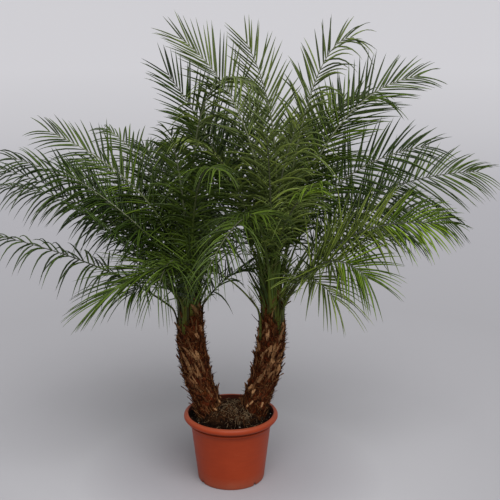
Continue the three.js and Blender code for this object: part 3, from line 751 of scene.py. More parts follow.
def stub_wood():
    """Dark reddish brown with the stalk's grain, tan on the pale strips and the cuts, and olive on the
    youngest feet."""
    finish = Finish("stub_wood", 0.85, 0.08)
    streak = finish.noise(300, 4, 0.6, stretch=(1, 1, 0.14))
    brown = finish.ramp(streak, (0.36, "200e05"), (0.55, "562b15"), (0.76, "945c36"))
    tan = finish.ramp(streak, (0.36, "6a4326"), (0.68, "b48a60"))
    fresh_cut = finish.ramp(streak, (0.3, "7a4f30"), (0.6, "b58a60"))
    spots = finish.step(finish.noise(120, 3, 0.6), 0.36, 0.50)
    cut = finish.step(finish.attribute("cut"), 0.45, 0.6) * spots
    youth = finish.attribute("youth") * 0.6
    colour = finish.cover(brown, (finish.attribute("pale"), tan), (cut, fresh_cut), (youth, "3d3a16"))
    return finish.skin(colour, streak, 0.0012, 0.9)


wood = stub_wood()
for word, side in SIDES.items():
    surface, marks = stub_surfaces(word, side)
    add_piece(f"leaf_feet_{word}", surface, [wood], marks=marks)

# %% [markdown]
# ### Fibre
# Between the stubs hangs the torn edge of the leaf sheaths: stiff brown hairs that mostly point up and out,
# with a few that lie across. A hair is a thin three-sided tube on a path that is written as an angle, a
# height and a radius about the trunk's axis.
# %% Thin tubes
def strands(paths, radii, corners=3):
    """Thin tubes along paths (strands, stations, 3) whose radii are an array (strands, stations). Two
    directions square to the path carry the corners of each ring."""
    along = unit(np.gradient(paths, axis=1))
    aside = np.array([0.36, 0.48, 0.8])  # any direction that no path follows
    across = unit(np.cross(along, aside))
    face = np.cross(along, across)
    turn = around(corners)[:, None]
    spokes = across[:, :, None] * np.cos(turn) + face[:, :, None] * np.sin(turn)
    rings = paths[:, :, None] + spokes * radii[:, :, None, None]
    return loft(rings, paths[:, 0], paths[:, -1])


def joined(surfaces):
    """Several surfaces as one, with the later faces counted on."""
    points = [surface[0] for surface in surfaces]
    first = np.cumsum([0] + [len(some) for some in points])
    kinds = zip(*[surface[1] for surface in surfaces])
    return np.concatenate(points), [np.concatenate([f + n for f, n in zip(kind, first)]) for kind in kinds]


sample = strands(np.array([[[0, 0, 0], [0, 0, 1]]]), np.array([[0.1, 0.1]]))
print("a straight strand has", len(sample[0]), "points and", sum(map(len, sample[1])), "faces")

# %% Hairs on the trunks
HAIR_STATIONS = 6
HAIR_BEND = 0.16  # usual sideways bend, as a share of the length
HAIR_SINK = 0.001  # a hair starts this far inside the mat


def hair_paths(side, dice, count, heights, lengths, lift, across):
    """At a share s of its length a hair has gone up by length * cos(slant) * s, round by
    length * sin(slant) * s, and out by lift * s ** 1.5, with a bend of its own."""
    s = np.linspace(0, 1, HAIR_STATIONS)[None]
    column = (count, 1)
    z0, turn0 = dice.uniform(*heights, column), dice.uniform(0, 2 * np.pi, column)
    length = dice.uniform(*lengths, column) * MM
    slant = dice.normal(0, across, column)
    out = np.abs(dice.normal(0, lift, column)) * MM
    bend = dice.normal(0, HAIR_BEND, column) * length * np.sin(np.pi * s)
    z = z0 + length * np.cos(slant) * s + bend * np.sin(slant)
    base = table(TRUNK_RADII, z)
    turn = turn0 + (length * np.sin(slant) * s + bend) / base
    return round_trunk(side, turn, z, base - HAIR_SINK + out * s**1.5)


HAIRS = {  # name: number on each trunk, heights, lengths in mm, lift in mm, slant, thickness in mm, colour
    "dark_frays": (1200, (0.212, 0.575), (6, 13), 6.5, 0.7, 1.70, "2a1409"),
    "red_frays": (420, (0.212, 0.610), (8, 22), 5.0, 0.75, 0.95, "522611"),
    "dark_hairs": (500, (0.215, 0.55), (10, 28), 5.0, 0.7, 0.45, "241107"),
    "red_hairs": (900, (0.28, 0.60), (12, 42), 5.0, 0.9, 0.50, "623017"),
    "tan_hairs": (420, (0.212, 0.52), (10, 32), 6.0, 0.8, 0.45, "a27a4c"),
    "sheath_net": (900, (0.50, 0.655), (20, 50), 4.0, 1.1, 0.50, "6b3416"),
}
for seed, (name, (count, heights, lengths, lift, across, thick, code)) in enumerate(HAIRS.items(), 70):
    dice = np.random.default_rng(seed)
    taper = np.linspace(1, 0.25, HAIR_STATIONS)
    hairs = []
    for side in SIDES.values():
        paths = hair_paths(side, dice, count, heights, lengths, lift, across)
        hairs.append(strands(paths, dice.uniform(0.6, 1.2, (count, 1)) * thick * MM * taper))
    add_piece(name, joined(hairs), [Finish(name, 0.8, 0.1, code)])

# %% A curl and a spike
LOOSE_STATIONS = 16
CURL_MIDDLE = (-0.080, -0.022, 0.514)
SPIKE_FOOT = (0.096, -0.014, 0.520)


def curl_path():
    """A loose fibre on the inner side of the left trunk: it leaves the bark and curls back on itself."""
    s = np.linspace(0, 1, LOOSE_STATIONS)
    turn, radius = np.radians(250 - 400 * s), 0.0085 * (1 - 0.45 * s)
    return CURL_MIDDLE + np.stack([radius * np.cos(turn), 0.004 * s, radius * np.sin(turn)], -1)


def spike_path():
    """The hard end of a leaf foot that stands off the inner side of the right trunk."""
    s = np.linspace(0, 1, LOOSE_STATIONS)[:, None]
    return SPIKE_FOOT + s * [-0.029, -0.004, 0.030] + s**2 * [-0.002, 0, 0.006]


loose_radii = np.array([[0.9], [2.2]]) * MM * np.linspace(1, 0.2, LOOSE_STATIONS)
loose = strands(np.stack([curl_path(), spike_path()]), loose_radii, 5)
add_piece("loose_fibre", loose, [Finish("loose_fibre", 0.8, 0.1, "2b1409")])

# %% [markdown]
# ## The mound of roots
# A clump that has stood in its pot for years pushes up a cushion of matted roots and old fibre between its
# feet. A low dome with a rough relief gives the body, and more than a thousand wiry roots lie over it and run
# down on to the peat.
# %% The mound's mesh and finish
MOUND_HALF = (0.116, 0.088)
MOUND_TOP = 0.252
MOUND_FOOT = 0.193
MOUND_SIDES = 150
MOUND_RINGS = 44
MOUND_RELIEF = ((40, (8, 40), 26, 0.0022), (12, (2, 7), 9, 0.0018))


def mound_height(x, y):
    """Height of the dome over a place: foot + rise * sqrt(1 - (x / half)^2 - (y / half)^2)."""
    inside = np.clip(1 - (x / MOUND_HALF[0]) ** 2 - (y / MOUND_HALF[1]) ** 2, 0, 1)
    return MOUND_FOOT + (MOUND_TOP - MOUND_FOOT) * np.sqrt(inside)


def mound_surface():
    """The dome as rings that close in as cos(fall) and rise as sin(fall), lumpy round and rough all over."""
    turn = around(MOUND_SIDES)
    fall = np.radians(np.linspace(0, 88, MOUND_RINGS))[:, None]
    lump = 1 + 0.05 * np.sin(3 * turn + 1) + 0.04 * np.sin(5 * turn)
    rough = relief(np.random.default_rng(90), turn, fall, MOUND_RELIEF)
    x = (MOUND_HALF[0] * lump * np.cos(fall) + rough) * np.cos(turn)
    y = (MOUND_HALF[1] * lump * np.cos(fall) + rough) * np.sin(turn)
    z = MOUND_FOOT + (MOUND_TOP - MOUND_FOOT) * np.sin(fall) + rough
    return one_loft(np.stack([x, y, z], -1), (0, 0, MOUND_FOOT), (0, 0, z[-1].mean()))


def root_mat():
    """Tangled brown that is nearly black in patches and towards its foot."""
    finish = Finish("root_mat", 0.95, 0.06)
    tangle = finish.noise(260, 5, 0.65, stretch=(0.5, 1, 1), distortion=1.8)
    browns = finish.ramp(tangle, (0.36, "130a05"), (0.54, "38200f"), (0.72, "7a5836"))
    # nearly black towards the foot of the mound
    foot_darkening = 1 - finish.step(finish.height(), 0.206, 0.236)
    patch = finish.noise(40, 3, 0.6)
    colour = finish.cover(browns, (patch * 0.6, "20110a"), (foot_darkening * 0.85, "0b0604"))
    return finish.skin(colour, tangle, 0.002)


add_piece("root_mat", mound_surface(), [root_mat()], ["root_mound"])

# %% Wiry roots
ROOT_STATIONS = 8
ROOT_WAVE = 0.14  # usual height of the sideways wave, as a share of the length
ROOT_LIFT = 0.0035


def root_paths(dice, count, lengths, spread):
    """Paths over the mound, straight in plan with a sideways wave of height * cos(2 pi s * 0.4 to 1.1). They
    lie just above the dome or the peat, whichever is higher, and keep within the soil's edge."""
    s = np.linspace(-0.5, 0.5, ROOT_STATIONS)[None]
    column = (count, 1)
    turn = dice.uniform(0, 2 * np.pi, column)
    radius = np.sqrt(dice.uniform(0, 1, column)) * spread
    x0, y0 = MOUND_HALF[0] * radius * np.cos(turn), MOUND_HALF[1] * radius * np.sin(turn)
    heading = dice.uniform(0, 2 * np.pi, column)
    length = dice.uniform(*lengths, column) * MM
    height = dice.normal(0, ROOT_WAVE, column) * length
    wave = height * np.cos(2 * np.pi * s * dice.uniform(0.4, 1.1, column))
    x = x0 + length * s * np.cos(heading) - wave * np.sin(heading)
    y = y0 + length * s * np.sin(heading) + wave * np.cos(heading)
    ground = np.maximum(mound_height(x, y), SOIL_TOP - 0.001)
    lift = np.abs(dice.normal(0, ROOT_LIFT, column)) * np.cos(np.pi * s) ** 2
    inside = np.clip(np.hypot(x, y) / (SOIL_EDGE - CRUMB_MARGIN), 1, None)
    return np.stack([x / inside, y / inside, ground + lift + 0.0005], -1)


ROOTS = {  # name: number, lengths in mm, spread, thickness in mm, colour
    "dark_roots": (700, (14, 46), 1.08, 0.95, "1d0f08"),
    "brown_roots": (380, (14, 46), 0.95, 0.70, "5c3a20"),
    "pale_roots": (300, (12, 36), 1.12, 0.34, "a48c6c"),
}
TUFT_PLACE, TUFT_SPREAD = (0.022, -0.030), 0.5  # a tuft of pale roots between the feet
TUFT_SHARE = 0.36  # of the pale roots that lie in it
TUFT_RISE = 0.007
for seed, (name, (count, lengths, spread, thick, code)) in enumerate(ROOTS.items(), 100):
    dice = np.random.default_rng(seed)
    paths = root_paths(dice, count, lengths, spread)
    if name == "pale_roots":
        tuft = root_paths(dice, int(TUFT_SHARE * count), lengths, TUFT_SPREAD)
        tuft[..., :2] += TUFT_PLACE
        tuft[..., 2] = mound_height(tuft[..., 0], tuft[..., 1]) + tuft[..., 2] % TUFT_RISE + 0.001
        paths[: len(tuft)] = tuft
    taper = np.interp(np.arange(ROOT_STATIONS), [0, 2, 5, 7], [0.3, 1, 1, 0.3])
    roots = strands(paths, dice.uniform(0.5, 1.3, (count, 1)) * thick * MM * taper)
    add_piece(name, roots, [Finish(name, 0.85, 0.1, code)])

# %% [markdown]
# ## The fronds
# A frond is a rib that bends over under its own weight, with two rows of narrow leaflets. Each rib here is a
# quadratic curve that leaves the green shaft at its rise and ends at its tip. The youngest leave the shaft
# at its top. The rule and its numbers are those of the solid model, with leaflets as fine as the real ones.
# %% The fronds' rows
# azimuth, reach, tip height, rise, bow, twist, limpness, vigour and tint of each frond, in degrees and
# millimetres, the youngest first
# the tints are partly the fronds' own greens and partly painted light and shade: fronds on the left take
# darker tints, and those in the heart of the right crown the lightest
LEFT_FRONDS = [
    [300, 400, 1285, 92, 1, 0, 0.7, 0.85, 4],
    [80, 430, 1120, 82, 0.55, 0, 0.3, 1, 2],
    [262, 230, 1150, 84, 0.55, 0, 0.5, 0.9, 2],
    [40, 260, 1130, 84, 0.55, 0, 0.1, 1, 3],
    [130, 440, 1080, 76, 0.55, 20, 0.3, 0.85, 2],
    [174, 425, 1115, 82, 0.5, 50, 0.22, 0.88, 2],
    [197, 370, 1020, 64, 0.42, 30, 0.35, 1, 3],
    [310, 360, 930, 74, 0.6, 0, 0.3, 1, 2],
    [118, 350, 1030, 82, 0.62, 0, 0.15, 1, 3],
    [285, 415, 1075, 88, 0.75, 0, 0.55, 0.85, 2],
    [150, 400, 1005, 73, 0.64, 20, 0.28, 1, 2],
    [100, 580, 1000, 68, 0.55, 0, 0.25, 1, 3],
    [187, 525, 1055, 66, 0.55, 50, 0.4, 0.85, 3],
    [55, 560, 920, 62, 0.6, 0, 0.3, 1, 2],
    [258, 330, 730, 66, 0.85, 0, 0.6, 0.9, 2],
    [174, 565, 945, 62, 0.55, 40, 0.5, 0.78, 3],
    [190, 565, 1030, 62, 0.55, 50, 0.5, 0.78, 3],
    [213, 375, 935, 56, 0.5, 10, 0.45, 0.85, 3],
    [125, 600, 820, 56, 0.6, 0, 0.4, 1, 3],
    [238, 290, 690, 62, 0.7, 0, 0.2, 0.9, 3],
    [88, 540, 760, 50, 0.6, 0, 0.45, 1, 3],
    [21, 220, 690, 54, 0.61, 0, 0.45, 1, 3],
    [132, 500, 840, 54, 0.6, 0, 0.55, 1, 3],
    [186, 565, 815, 42, 0.4, 30, 0.75, 0.72, 3],
]
RIGHT_FRONDS = [
    [211, 95, 1385, 100, 0.63, -50, 0.08, 0.9, 4],
    [353, 230, 1395, 84, 0.98, -60, 0.5, 0.95, 4],
    [174, 275, 1390, 90, 0.69, 50, 0.08, 1, 4],
    [49, 420, 1185, 79, 0.83, 0, 0.1, 1, 1],
    [287, 230, 1190, 97, 0.52, 0, 0.6, 0.75, 5],
    [100, 330, 1150, 82, 0.55, 0, 0.08, 1, 1],
    [135, 400, 1130, 82, 0.55, 0, 0.12, 1, 2],
    [17, 470, 1272, 80, 0.77, -50, 0.08, 1, 2],
    [264, 240, 1150, 86, 0.55, 0, 0.5, 0.85, 5],
    [74, 500, 1090, 66, 0.62, 0, 0.12, 1, 1],
    [251, 550, 840, 80, 0.75, 0, 0.45, 0.85, 2],
    [170, 320, 1285, 75, 0.62, 50, 0.14, 1, 3],
    [33, 445, 1180, 79, 1.03, -30, 0.12, 0.8, 2],
    [212, 320, 1120, 81, 0.85, 0, 0.5, 0.85, 5],
    [285, 435, 1050, 100, 0.42, 0, 0.55, 0.75, 5],
    [5, 465, 1070, 81, 0.65, -60, 0.12, 1, 3],
    [60, 600, 960, 68, 0.6, 0, 0.18, 1, 2],
    [11, 560, 835, 66, 0.7, -40, 0.16, 1, 3],
    [105, 600, 900, 62, 0.6, 0, 0.25, 1, 2],
    [303, 320, 680, 62, 0.71, 0, 0.15, 1, 5],
    [146, 540, 850, 62, 0.6, 0, 0.3, 1, 2],
    [20, 715, 955, 74, 0.52, -60, 0.12, 1, 2],
    [326, 545, 910, 64, 0.59, -50, 0.18, 1, 1],
    [85, 560, 740, 52, 0.7, 0, 0.35, 1, 1],
    [35, 560, 720, 48, 0.7, 0, 0.35, 1, 3],
    [310, 400, 755, 59, 0.84, -40, -0.05, 1.1, 1],
    [208, 555, 680, 56, 0.72, 0, -0.1, 1.2, 2],
]
print(len(LEFT_FRONDS), "fronds on the left and", len(RIGHT_FRONDS), "on the right")

# %% The fronds' rule
SEAT_TOP, SEAT_FOOT = 0.692, 0.556  # heights of the youngest and the oldest frond's heel
SEAT_OUT = 0.0033  # the rib's axis lies this far out of its heel where it rises straight up
RIB_DEPTH = (0.006, 0.0016)  # at the seat and at the tip
RIB_STEPS = 241
TWIST_BY = 0.5  # share of the rib over which its blade turns to its twist
CLEAR = 0.0003  # between the shaft and a heel
YOUNG_RANK, OLD_RANK = 0.3, 0.68  # shares of the way from the youngest frond to the oldest
UP = np.array([0.0, 0.0, 1.0])


def quadratic(start, middle, end, s):
    """Points at shares s of the curve (1 - s) ** 2 * start + 2 s (1 - s) * middle + s ** 2 * end, and its
    directions there."""
    s = s[:, None]
    points = (1 - s) ** 2 * start + 2 * s * (1 - s) * middle + s**2 * end
    return points, unit((1 - s) * (middle - start) + s * (end - middle))


class Rib:
    """The rib of one frond, with the directions of its blade."""

    def __init__(self, node, side, rank, row):
        azimuth, reach, tip_height, rise, bow, twist, self.limp, self.vigour, self.tint = row
        self.node, self.side, self.rank = node, side, rank
        self.slot = "young_leaf" if rank < YOUNG_RANK else "leaf" if rank < OLD_RANK else "old_leaf"
        self.twist, steep = np.radians(twist), np.radians(rise)
        self.out = polar(np.radians(azimuth), 1.0, 0.0)
        self.level = np.array([self.out[1], -self.out[0], 0])
        self.z = SEAT_TOP + (SEAT_FOOT - SEAT_TOP) * rank
        shaft = table(TRUNK_RADII, self.z - RIB_DEPTH[0] / 2) + CLEAR
        axis = np.array([lean(side, self.z), 0, self.z])
        self.seat = axis + self.out * (shaft + SEAT_OUT * np.sin(steep))
        tip = np.array([lean(side, self.z), 0, tip_height * MM]) + self.out * reach * MM
        pull = bow * np.linalg.norm(tip - self.seat)
        middle = self.seat + pull * (self.out * np.cos(steep) + UP * np.sin(steep))
        self.path, self.heading = quadratic(self.seat, middle, tip, np.linspace(0, 1, RIB_STEPS))
        steps = np.linalg.norm(np.diff(self.path, axis=0), axis=1)
        self.walked = np.concatenate([[0], np.cumsum(steps)])
        self.length = self.walked[-1]

    def frame(self, t):
        """Place, direction along the rib, across the blade and out of its upper face, at fractions t."""
        walked = t * self.length
        place = np.stack([np.interp(walked, self.walked, axis) for axis in self.path.T], -1)
        along = unit(np.stack([np.interp(walked, self.walked, axis) for axis in self.heading.T], -1))
        upper = np.cross(self.level, along)
        roll = (self.twist * np.clip(t / TWIST_BY, 0, 1))[:, None]
        across = self.level * np.cos(roll) + upper * np.sin(roll)
        return place, along, across, upper * np.cos(roll) - self.level * np.sin(roll)


ribs = []
for (word, side), rows in zip(SIDES.items(), (LEFT_FRONDS, RIGHT_FRONDS)):
    for i, row in enumerate(rows):
        ribs.append(Rib(f"frond_{word}_{i + 1:02d}", side, i / (len(rows) - 1), row))
print("the longest rib measures", round(max(rib.length for rib in ribs), 3), "m")

# %% [markdown]
# ### Leaflets
# A leaflet is a narrow blade, folded upwards along its middle like a gutter, widest near its foot and drawn
# out to a fine point. Its cross-section is an arrowhead of four corners: two edges, the keel below and the
# gutter above. Those near the foot of the frond stand out almost square, those near its tip point forward,
# and on a frond that leans out they hang.
# %% The shape of a leaflet
LEAFLET_FOLD = 0.0021  # depth of the gutter at the widest place
LEAFLET_SKIN = 0.0005  # half the thickness along the middle
LEAFLET_CURL = 2.4
LEAFLET_Q = np.array([0.0, 0.06, 0.22, 0.42, 0.62, 0.80, 0.93])[None, :, None]  # shares of the length
LEAFLET_SHAPE = np.array([0.45, 0.75, 1.0, 0.96, 0.78, 0.48, 0.20])[None, :, None]  # of the width, there


def hanging(root, line, length, sag):
    """Points, directions and tips of blades that droop. A point at share q of a blade lies at
    root + line * length * q, less sag * q ** 2.4 straight down."""
    centre = root + line * length * LEAFLET_Q - UP * sag * LEAFLET_Q**LEAFLET_CURL
    slope = UP * LEAFLET_CURL * sag * LEAFLET_Q ** (LEAFLET_CURL - 1)
    return centre, unit(line * length - slope), (root + line * length - UP * sag)[:, 0]


def gutter(centre, ahead, above, half):
    """Four corners round each point of a blade: one edge, the keel, the other edge and the gutter. half is
    half the greatest width."""
    reach, edges = ahead * (half * LEAFLET_SHAPE), above * (LEAFLET_FOLD * LEAFLET_SHAPE)
    skin = above * LEAFLET_SKIN
    return np.stack([centre - reach + edges, centre - skin, centre + reach + edges, centre + skin], 2)


print("a leaflet has", 4 * LEAFLET_Q.size + 2, "corners")

# %% The leaflets of one frond
LEAFLET_PITCH = 0.0104
FEWEST_LEAFLETS = 8
CROWDING = 0.36  # they stand closer by this share at the blade's foot, and wider at its tip
LUSH = {"frond_right_26": 1.45, "frond_right_23": 1.25, "frond_left_24": 1.15, "frond_left_20": 1.2}
BLADE_START = 0.10  # fraction of the rib from which the leaflets grow longer
SHORT_START = 0.055  # and at which the first, short ones stand on the youngest frond
BARE_GAIN = {-1: 0.11, 1: 0.27}  # and how much further out they start on the oldest, on each side
LEAFLET_LENGTH = 0.190
LENGTH_SPREAD = (0.88, 1.03)  # shares of the length, at random
FIRST_SHARE, GROWTH, FALL = 0.36, 2.4, 0.45  # of the length: at first, gained up the blade, lost at its tip
LEAFLET_ANGLE = (60, 19)  # degrees off the rib at the blade's foot and at its tip
LEAFLET_LIFT = 16  # degrees up from the blade's plane
LEAFLET_HALF = 0.0034
END_WIDTH, MIDDLE_SWELL = 0.67, 1.1  # shares of the width at the blade's ends, and more in its middle
LIMP_LEVEL = 0.3  # more limpness where the rib lies level or hangs
LIMP_SPREAD = (0.7, 1.25)  # shares of the limpness, at random
# how unruly they are: everywhere, more so at the blade's foot, and more on a limp frond, in radians
ANGLE_ASTRAY, LIFT_ASTRAY, ROLL_ASTRAY = (0.05, 0.28, 0.2), (0.07, 0.35), (0.18, 0.4)


def aimed(along, across, face, angle, lift):
    """The direction that stands off the rib by an angle, and up from the blade's plane by a lift."""
    side = across * np.cos(lift) + face * np.sin(lift)
    return along * np.cos(angle) + side * np.sin(angle)


def leaflet_row(rib, hand, place, u, dice):
    """Rings, roots and tips of the leaflets on one side of a rib, with place their fractions of the rib and
    u how far up the blade they stand, from 0 to 1. The lowest are unruly, and the rest stand like a comb.
    Their length goes by (0.36 + 2.4 u, at most 1) * (1 - 0.45 u ** 4), their angle off the rib is
    60 - 41 u ** 2 degrees, and each sags by limpness * length * how level its line is."""
    root, along, across, face = (vectors[:, None] for vectors in rib.frame(place))
    column, unruly = u.shape, (1 - u) ** 2
    grown = np.minimum(1, FIRST_SHARE + GROWTH * u) * (1 - FALL * u**4)
    length = LEAFLET_LENGTH * rib.vigour * grown * dice.uniform(*LENGTH_SPREAD, column)
    astray = ANGLE_ASTRAY[0] + ANGLE_ASTRAY[1] * unruly + ANGLE_ASTRAY[2] * max(rib.limp, 0) ** 2
    angle = np.radians(LEAFLET_ANGLE[0] + (LEAFLET_ANGLE[1] - LEAFLET_ANGLE[0]) * u**2)
    angle = angle + dice.normal(0, 1, column) * astray
    lift = dice.normal(0, 1, column) * (LIFT_ASTRAY[0] + LIFT_ASTRAY[1] * unruly)
    line = aimed(along, hand * across, face, angle, np.radians(LEAFLET_LIFT) + lift)
    limp = rib.limp + LIMP_LEVEL * np.clip(0.7 - along[..., 2:], 0, 1.2)
    limp = limp * dice.uniform(*LIMP_SPREAD, column)
    length = length / np.sqrt(1 + 0.5 * limp**2)
    sag = limp * length * np.hypot(line[..., :1], line[..., 1:2])
    centre, heading, tip = hanging(root, line, length, sag)
    ahead = unit(along - heading * (along * heading).sum(-1, keepdims=True))
    above = np.cross(heading, ahead) * -hand
    roll = dice.normal(0, 1, column) * (ROLL_ASTRAY[0] + ROLL_ASTRAY[1] * unruly)
    turned = ahead * np.cos(roll) + above * np.sin(roll)
    above = above * np.cos(roll) - ahead * np.sin(roll)
    half = LEAFLET_HALF * (END_WIDTH + MIDDLE_SWELL * u - MIDDLE_SWELL * u**2)
    rings = gutter(centre, turned, above, half)
    return rings if hand > 0 else rings[:, :, ::-1], root[:, 0], tip


def leaflet_rings(rib, dice):
    """Rings, roots and tips of all leaflets of a rib, and how far up the blade each stands. A share s of them
    stands on the first s * (0.64 + 0.36 s) of the blade."""
    first = SHORT_START + BARE_GAIN[rib.side] * rib.rank
    start = max(BLADE_START, first)
    room = (1 - first) * rib.length * rib.vigour**1.5 * LUSH.get(rib.node, 1)
    count = max(FEWEST_LEAFLETS, int(round(room / LEAFLET_PITCH)))
    share = (np.arange(count) + 0.5) / count
    t = first + (1 - first) * share * (1 - CROWDING + CROWDING * share)
    rows = []
    for hand in (1, -1):
        place = np.clip(t + dice.normal(0, 0.2, count) / count, first, 0.998)
        u = np.maximum(0, (place - start) / (1 - start))
        rows.append((*leaflet_row(rib, hand, place, u[:, None, None], dice), u))
    return [np.concatenate(arrays) for arrays in zip(*rows)]


leaflets = {rib.node: leaflet_rings(rib, np.random.default_rng(200 + i)) for i, rib in enumerate(ribs)}
print(sum(len(some[1]) for some in leaflets.values()), "leaflets")

# %% [markdown]
# The greens of a crown run from the fresh yellowish green of new growth to the deep dull green of the oldest
# leaves. Each frond has one of five tints in its row, and the tints paint light and shade too: fronds on the
# left, in the shade of the right crown, take darker ones, and those in the heart of the right crown the
# lightest. Its leaflets get a shaded, a plain or a lit copy of the tint at random, as painted shade and
# painted light, and a few fronds in full light have painted yellowish light towards their tips, so that the
# crown doesn't read as one sheet. Each leaflet is plain, because a pattern in the object's space would cut
# across leaflets that hang far apart.
# %% Greens
# the first green is the yellowish painted light of the lit tips, and tint 5 is painted light for the fronds
# in the heart of the right crown
GREENS = ("66801f", "5c6b2a", "485c19", "364a13", "62713a", "72823d")  # fresh, and the tints 1 to 5
# painted shade and painted light: shaded, plain and lit copies of a tint, and how often each is dealt
LIT_AND_SHADED_TONES = {"deep": (0.50, 0.53, 0.45), "plain": (1.0, 1.0, 1.0), "bright": (1.55, 1.5, 1.3)}  # shares of a tint
LIT_AND_SHADED_CHANCES = (0.35, 0.42, 0.23)
# painted light: these fronds in full light get yellowish outer leaflets, from this share of the blade on
PAINTED_LIT_TIPS = ("frond_right_15", "frond_right_23", "frond_right_26")
PAINTED_LIT_FROM = 0.62  # share of the blade from which the leaflets of those fronds are yellowish


def leaf_skins(name, code):
    """Three finishes of one tint, which is multiplied by the share of each tone: a shaded copy as painted
    shade, a plain one, and a lit copy as painted light.
    """
    colours = {tone: (np.array(tint(code)) * (*share, 1)).tolist() for tone, share in LIT_AND_SHADED_TONES.items()}
    return [Finish(f"{name}_{tone}", 0.42, 0.30, colour) for tone, colour in colours.items()]


def add_leaflets(name, sets, code, stands_for, seed):
    """One piece from several sets of leaflets, each leaflet in one of the three tones at random: painted
    shade, plain or painted light.
    """
    surface = joined([loft(*some[:3]) for some in sets])
    count = sum(len(some[1]) for some in sets)
    tone = np.random.default_rng(seed).choice(len(LIT_AND_SHADED_TONES), count, p=LIT_AND_SHADED_CHANCES)
    which = np.concatenate([np.repeat(tone, len(f) // count) for f in surface[1]])
    add_piece(name, surface, leaf_skins(name, code), stands_for, which=which)


# painted light: the outer leaflets of the fronds in full light become one yellowish piece of their own
lit_tips = []
for node in PAINTED_LIT_TIPS:
    outer = leaflets[node][3] > PAINTED_LIT_FROM
    lit_tips.append([arrays[outer] for arrays in leaflets[node]])
    leaflets[node] = [arrays[~outer] for arrays in leaflets[node]]
add_leaflets("leaflets_painted_lit_tips", lit_tips, GREENS[0], (), 300)

for slot in ("young_leaf", "leaf", "old_leaf"):
    for shade, code in enumerate(GREENS):
        members = [rib.node for rib in ribs if (rib.slot, rib.tint) == (slot, shade)]
        if members:
            sets = [leaflets[node] for node in members]
            add_leaflets(f"leaflets_{slot}_{shade}", sets, code, members, 301 + shade)

# %% [markdown]
# ### Ribs and the green shaft
# The shaft under the crown is nothing but leaf stalks. Each stalk starts low down as a broad sheath that
# clasps the shaft, narrows as it rises, parts from the shaft at its seat and goes on as the rib of its
# frond. One closed tube follows the whole way, flat and wide at its foot and nearly round further out.
# %% The ribs' mesh and finish
RIB_WIDTH = (0.0082, 0.0018)  # at the seat and at the tip
RIB_CORNERS = 8
RIB_STATIONS = 26
SHEATH_STATIONS = 8
SHEATH_DROP = 0.085  # the sheath starts this far below the seat
SHEATH_SINK = 0.002  # and this far inside the shaft
SHEATH_HALF = (0.0085, 0.0022)  # half its width and half its depth there
SEAT_SWELL = (0.002, 0.0016)  # the rib is this much wider and deeper at its seat
BEND_END = 0.05  # fraction of the rib at which the bend from the sheath is over
SCURF_START, SCURF_SPAN = 0.32, 0.3  # fractions of the rib


def girth(s, t, size, sheath, swell, power):
    """Half a width or depth along the sheath at s and the rib at t. It goes from the sheath's to the rib's
    by s ** power, and the swell at the seat fades by (1 - t) ** 4."""
    low = sheath + (size[0] / 2 + swell / 2 - sheath) * s**power
    high = (size[0] + swell * (1 - t) ** 4 + (size[1] - size[0]) * t) / 2
    return np.concatenate([low, high])[:, None, None]


def rib_rings(rib):
    """Rings along the sheath and the rib with their two ends, and how pale with scurf each corner is. The
    sheath's path is the quadratic curve from its foot on the shaft, by the seat, to the rib."""
    foot_z = rib.z - SHEATH_DROP
    foot = np.array([lean(rib.side, foot_z), 0, foot_z])
    foot = foot + rib.out * (table(TRUNK_RADII, foot_z) - SHEATH_SINK)
    s, t = np.linspace(0, 1, SHEATH_STATIONS, endpoint=False), np.linspace(BEND_END, 1, RIB_STATIONS)
    low, low_along = quadratic(foot, rib.seat, rib.frame(np.array([BEND_END]))[0], s)
    place, _, across, face = rib.frame(t)
    place = np.concatenate([low, place])
    across = np.concatenate([np.broadcast_to(rib.level, low.shape), across])[:, None]
    face = np.concatenate([np.cross(rib.level, low_along), face])[:, None]
    wide = girth(s, t, RIB_WIDTH, SHEATH_HALF[0], SEAT_SWELL[0], 0.7)
    deep = girth(s, t, RIB_DEPTH, SHEATH_HALF[1], SEAT_SWELL[1], 1)
    corner = around(RIB_CORNERS)
    flat = np.where(np.sin(corner) > 0, 0.75, 1.0)  # the upper side is flatter
    upwards = face * (np.sin(corner) * flat)[:, None] * deep
    rings = (place[:, None] + across * np.cos(corner)[:, None] * wide + upwards)[:, ::-1]
    scurf = np.append(0 * s, np.clip((t - SCURF_START) / SCURF_SPAN, 0, 1))
    return (rings[None], place[None, 0], place[None, -1]), np.append(np.repeat(scurf, RIB_CORNERS), [0, 1])


def stalk_skin(name, code):
    """A stalk is dull olive where the sheaths clasp the shaft, green above, and pale with scurf far out."""
    finish = Finish(name, 0.55, 0.15)
    streak = finish.noise(60, 3, 0.6, stretch=(1, 1, 0.12))
    olive = finish.ramp(streak, (0.40, "2b2a10"), (0.60, "56601f"))
    above = finish.step(finish.height(), 0.62, 0.72)
    return finish.skin(finish.cover(olive, (above, "4c5a24"), (finish.attribute("outer"), code)))


STALKS = {"young_leaf": "7c7f68", "leaf": "5f614d", "old_leaf": "55574a"}
for slot, code in STALKS.items():
    tubes, scurf = zip(*[rib_rings(rib) for rib in ribs if rib.slot == slot])
    surface, marks = joined([loft(*tube) for tube in tubes]), {"outer": np.concatenate(scurf)}
    add_piece(f"ribs_{slot}", surface, [stalk_skin(f"stalk_{slot}", code)], marks=marks)

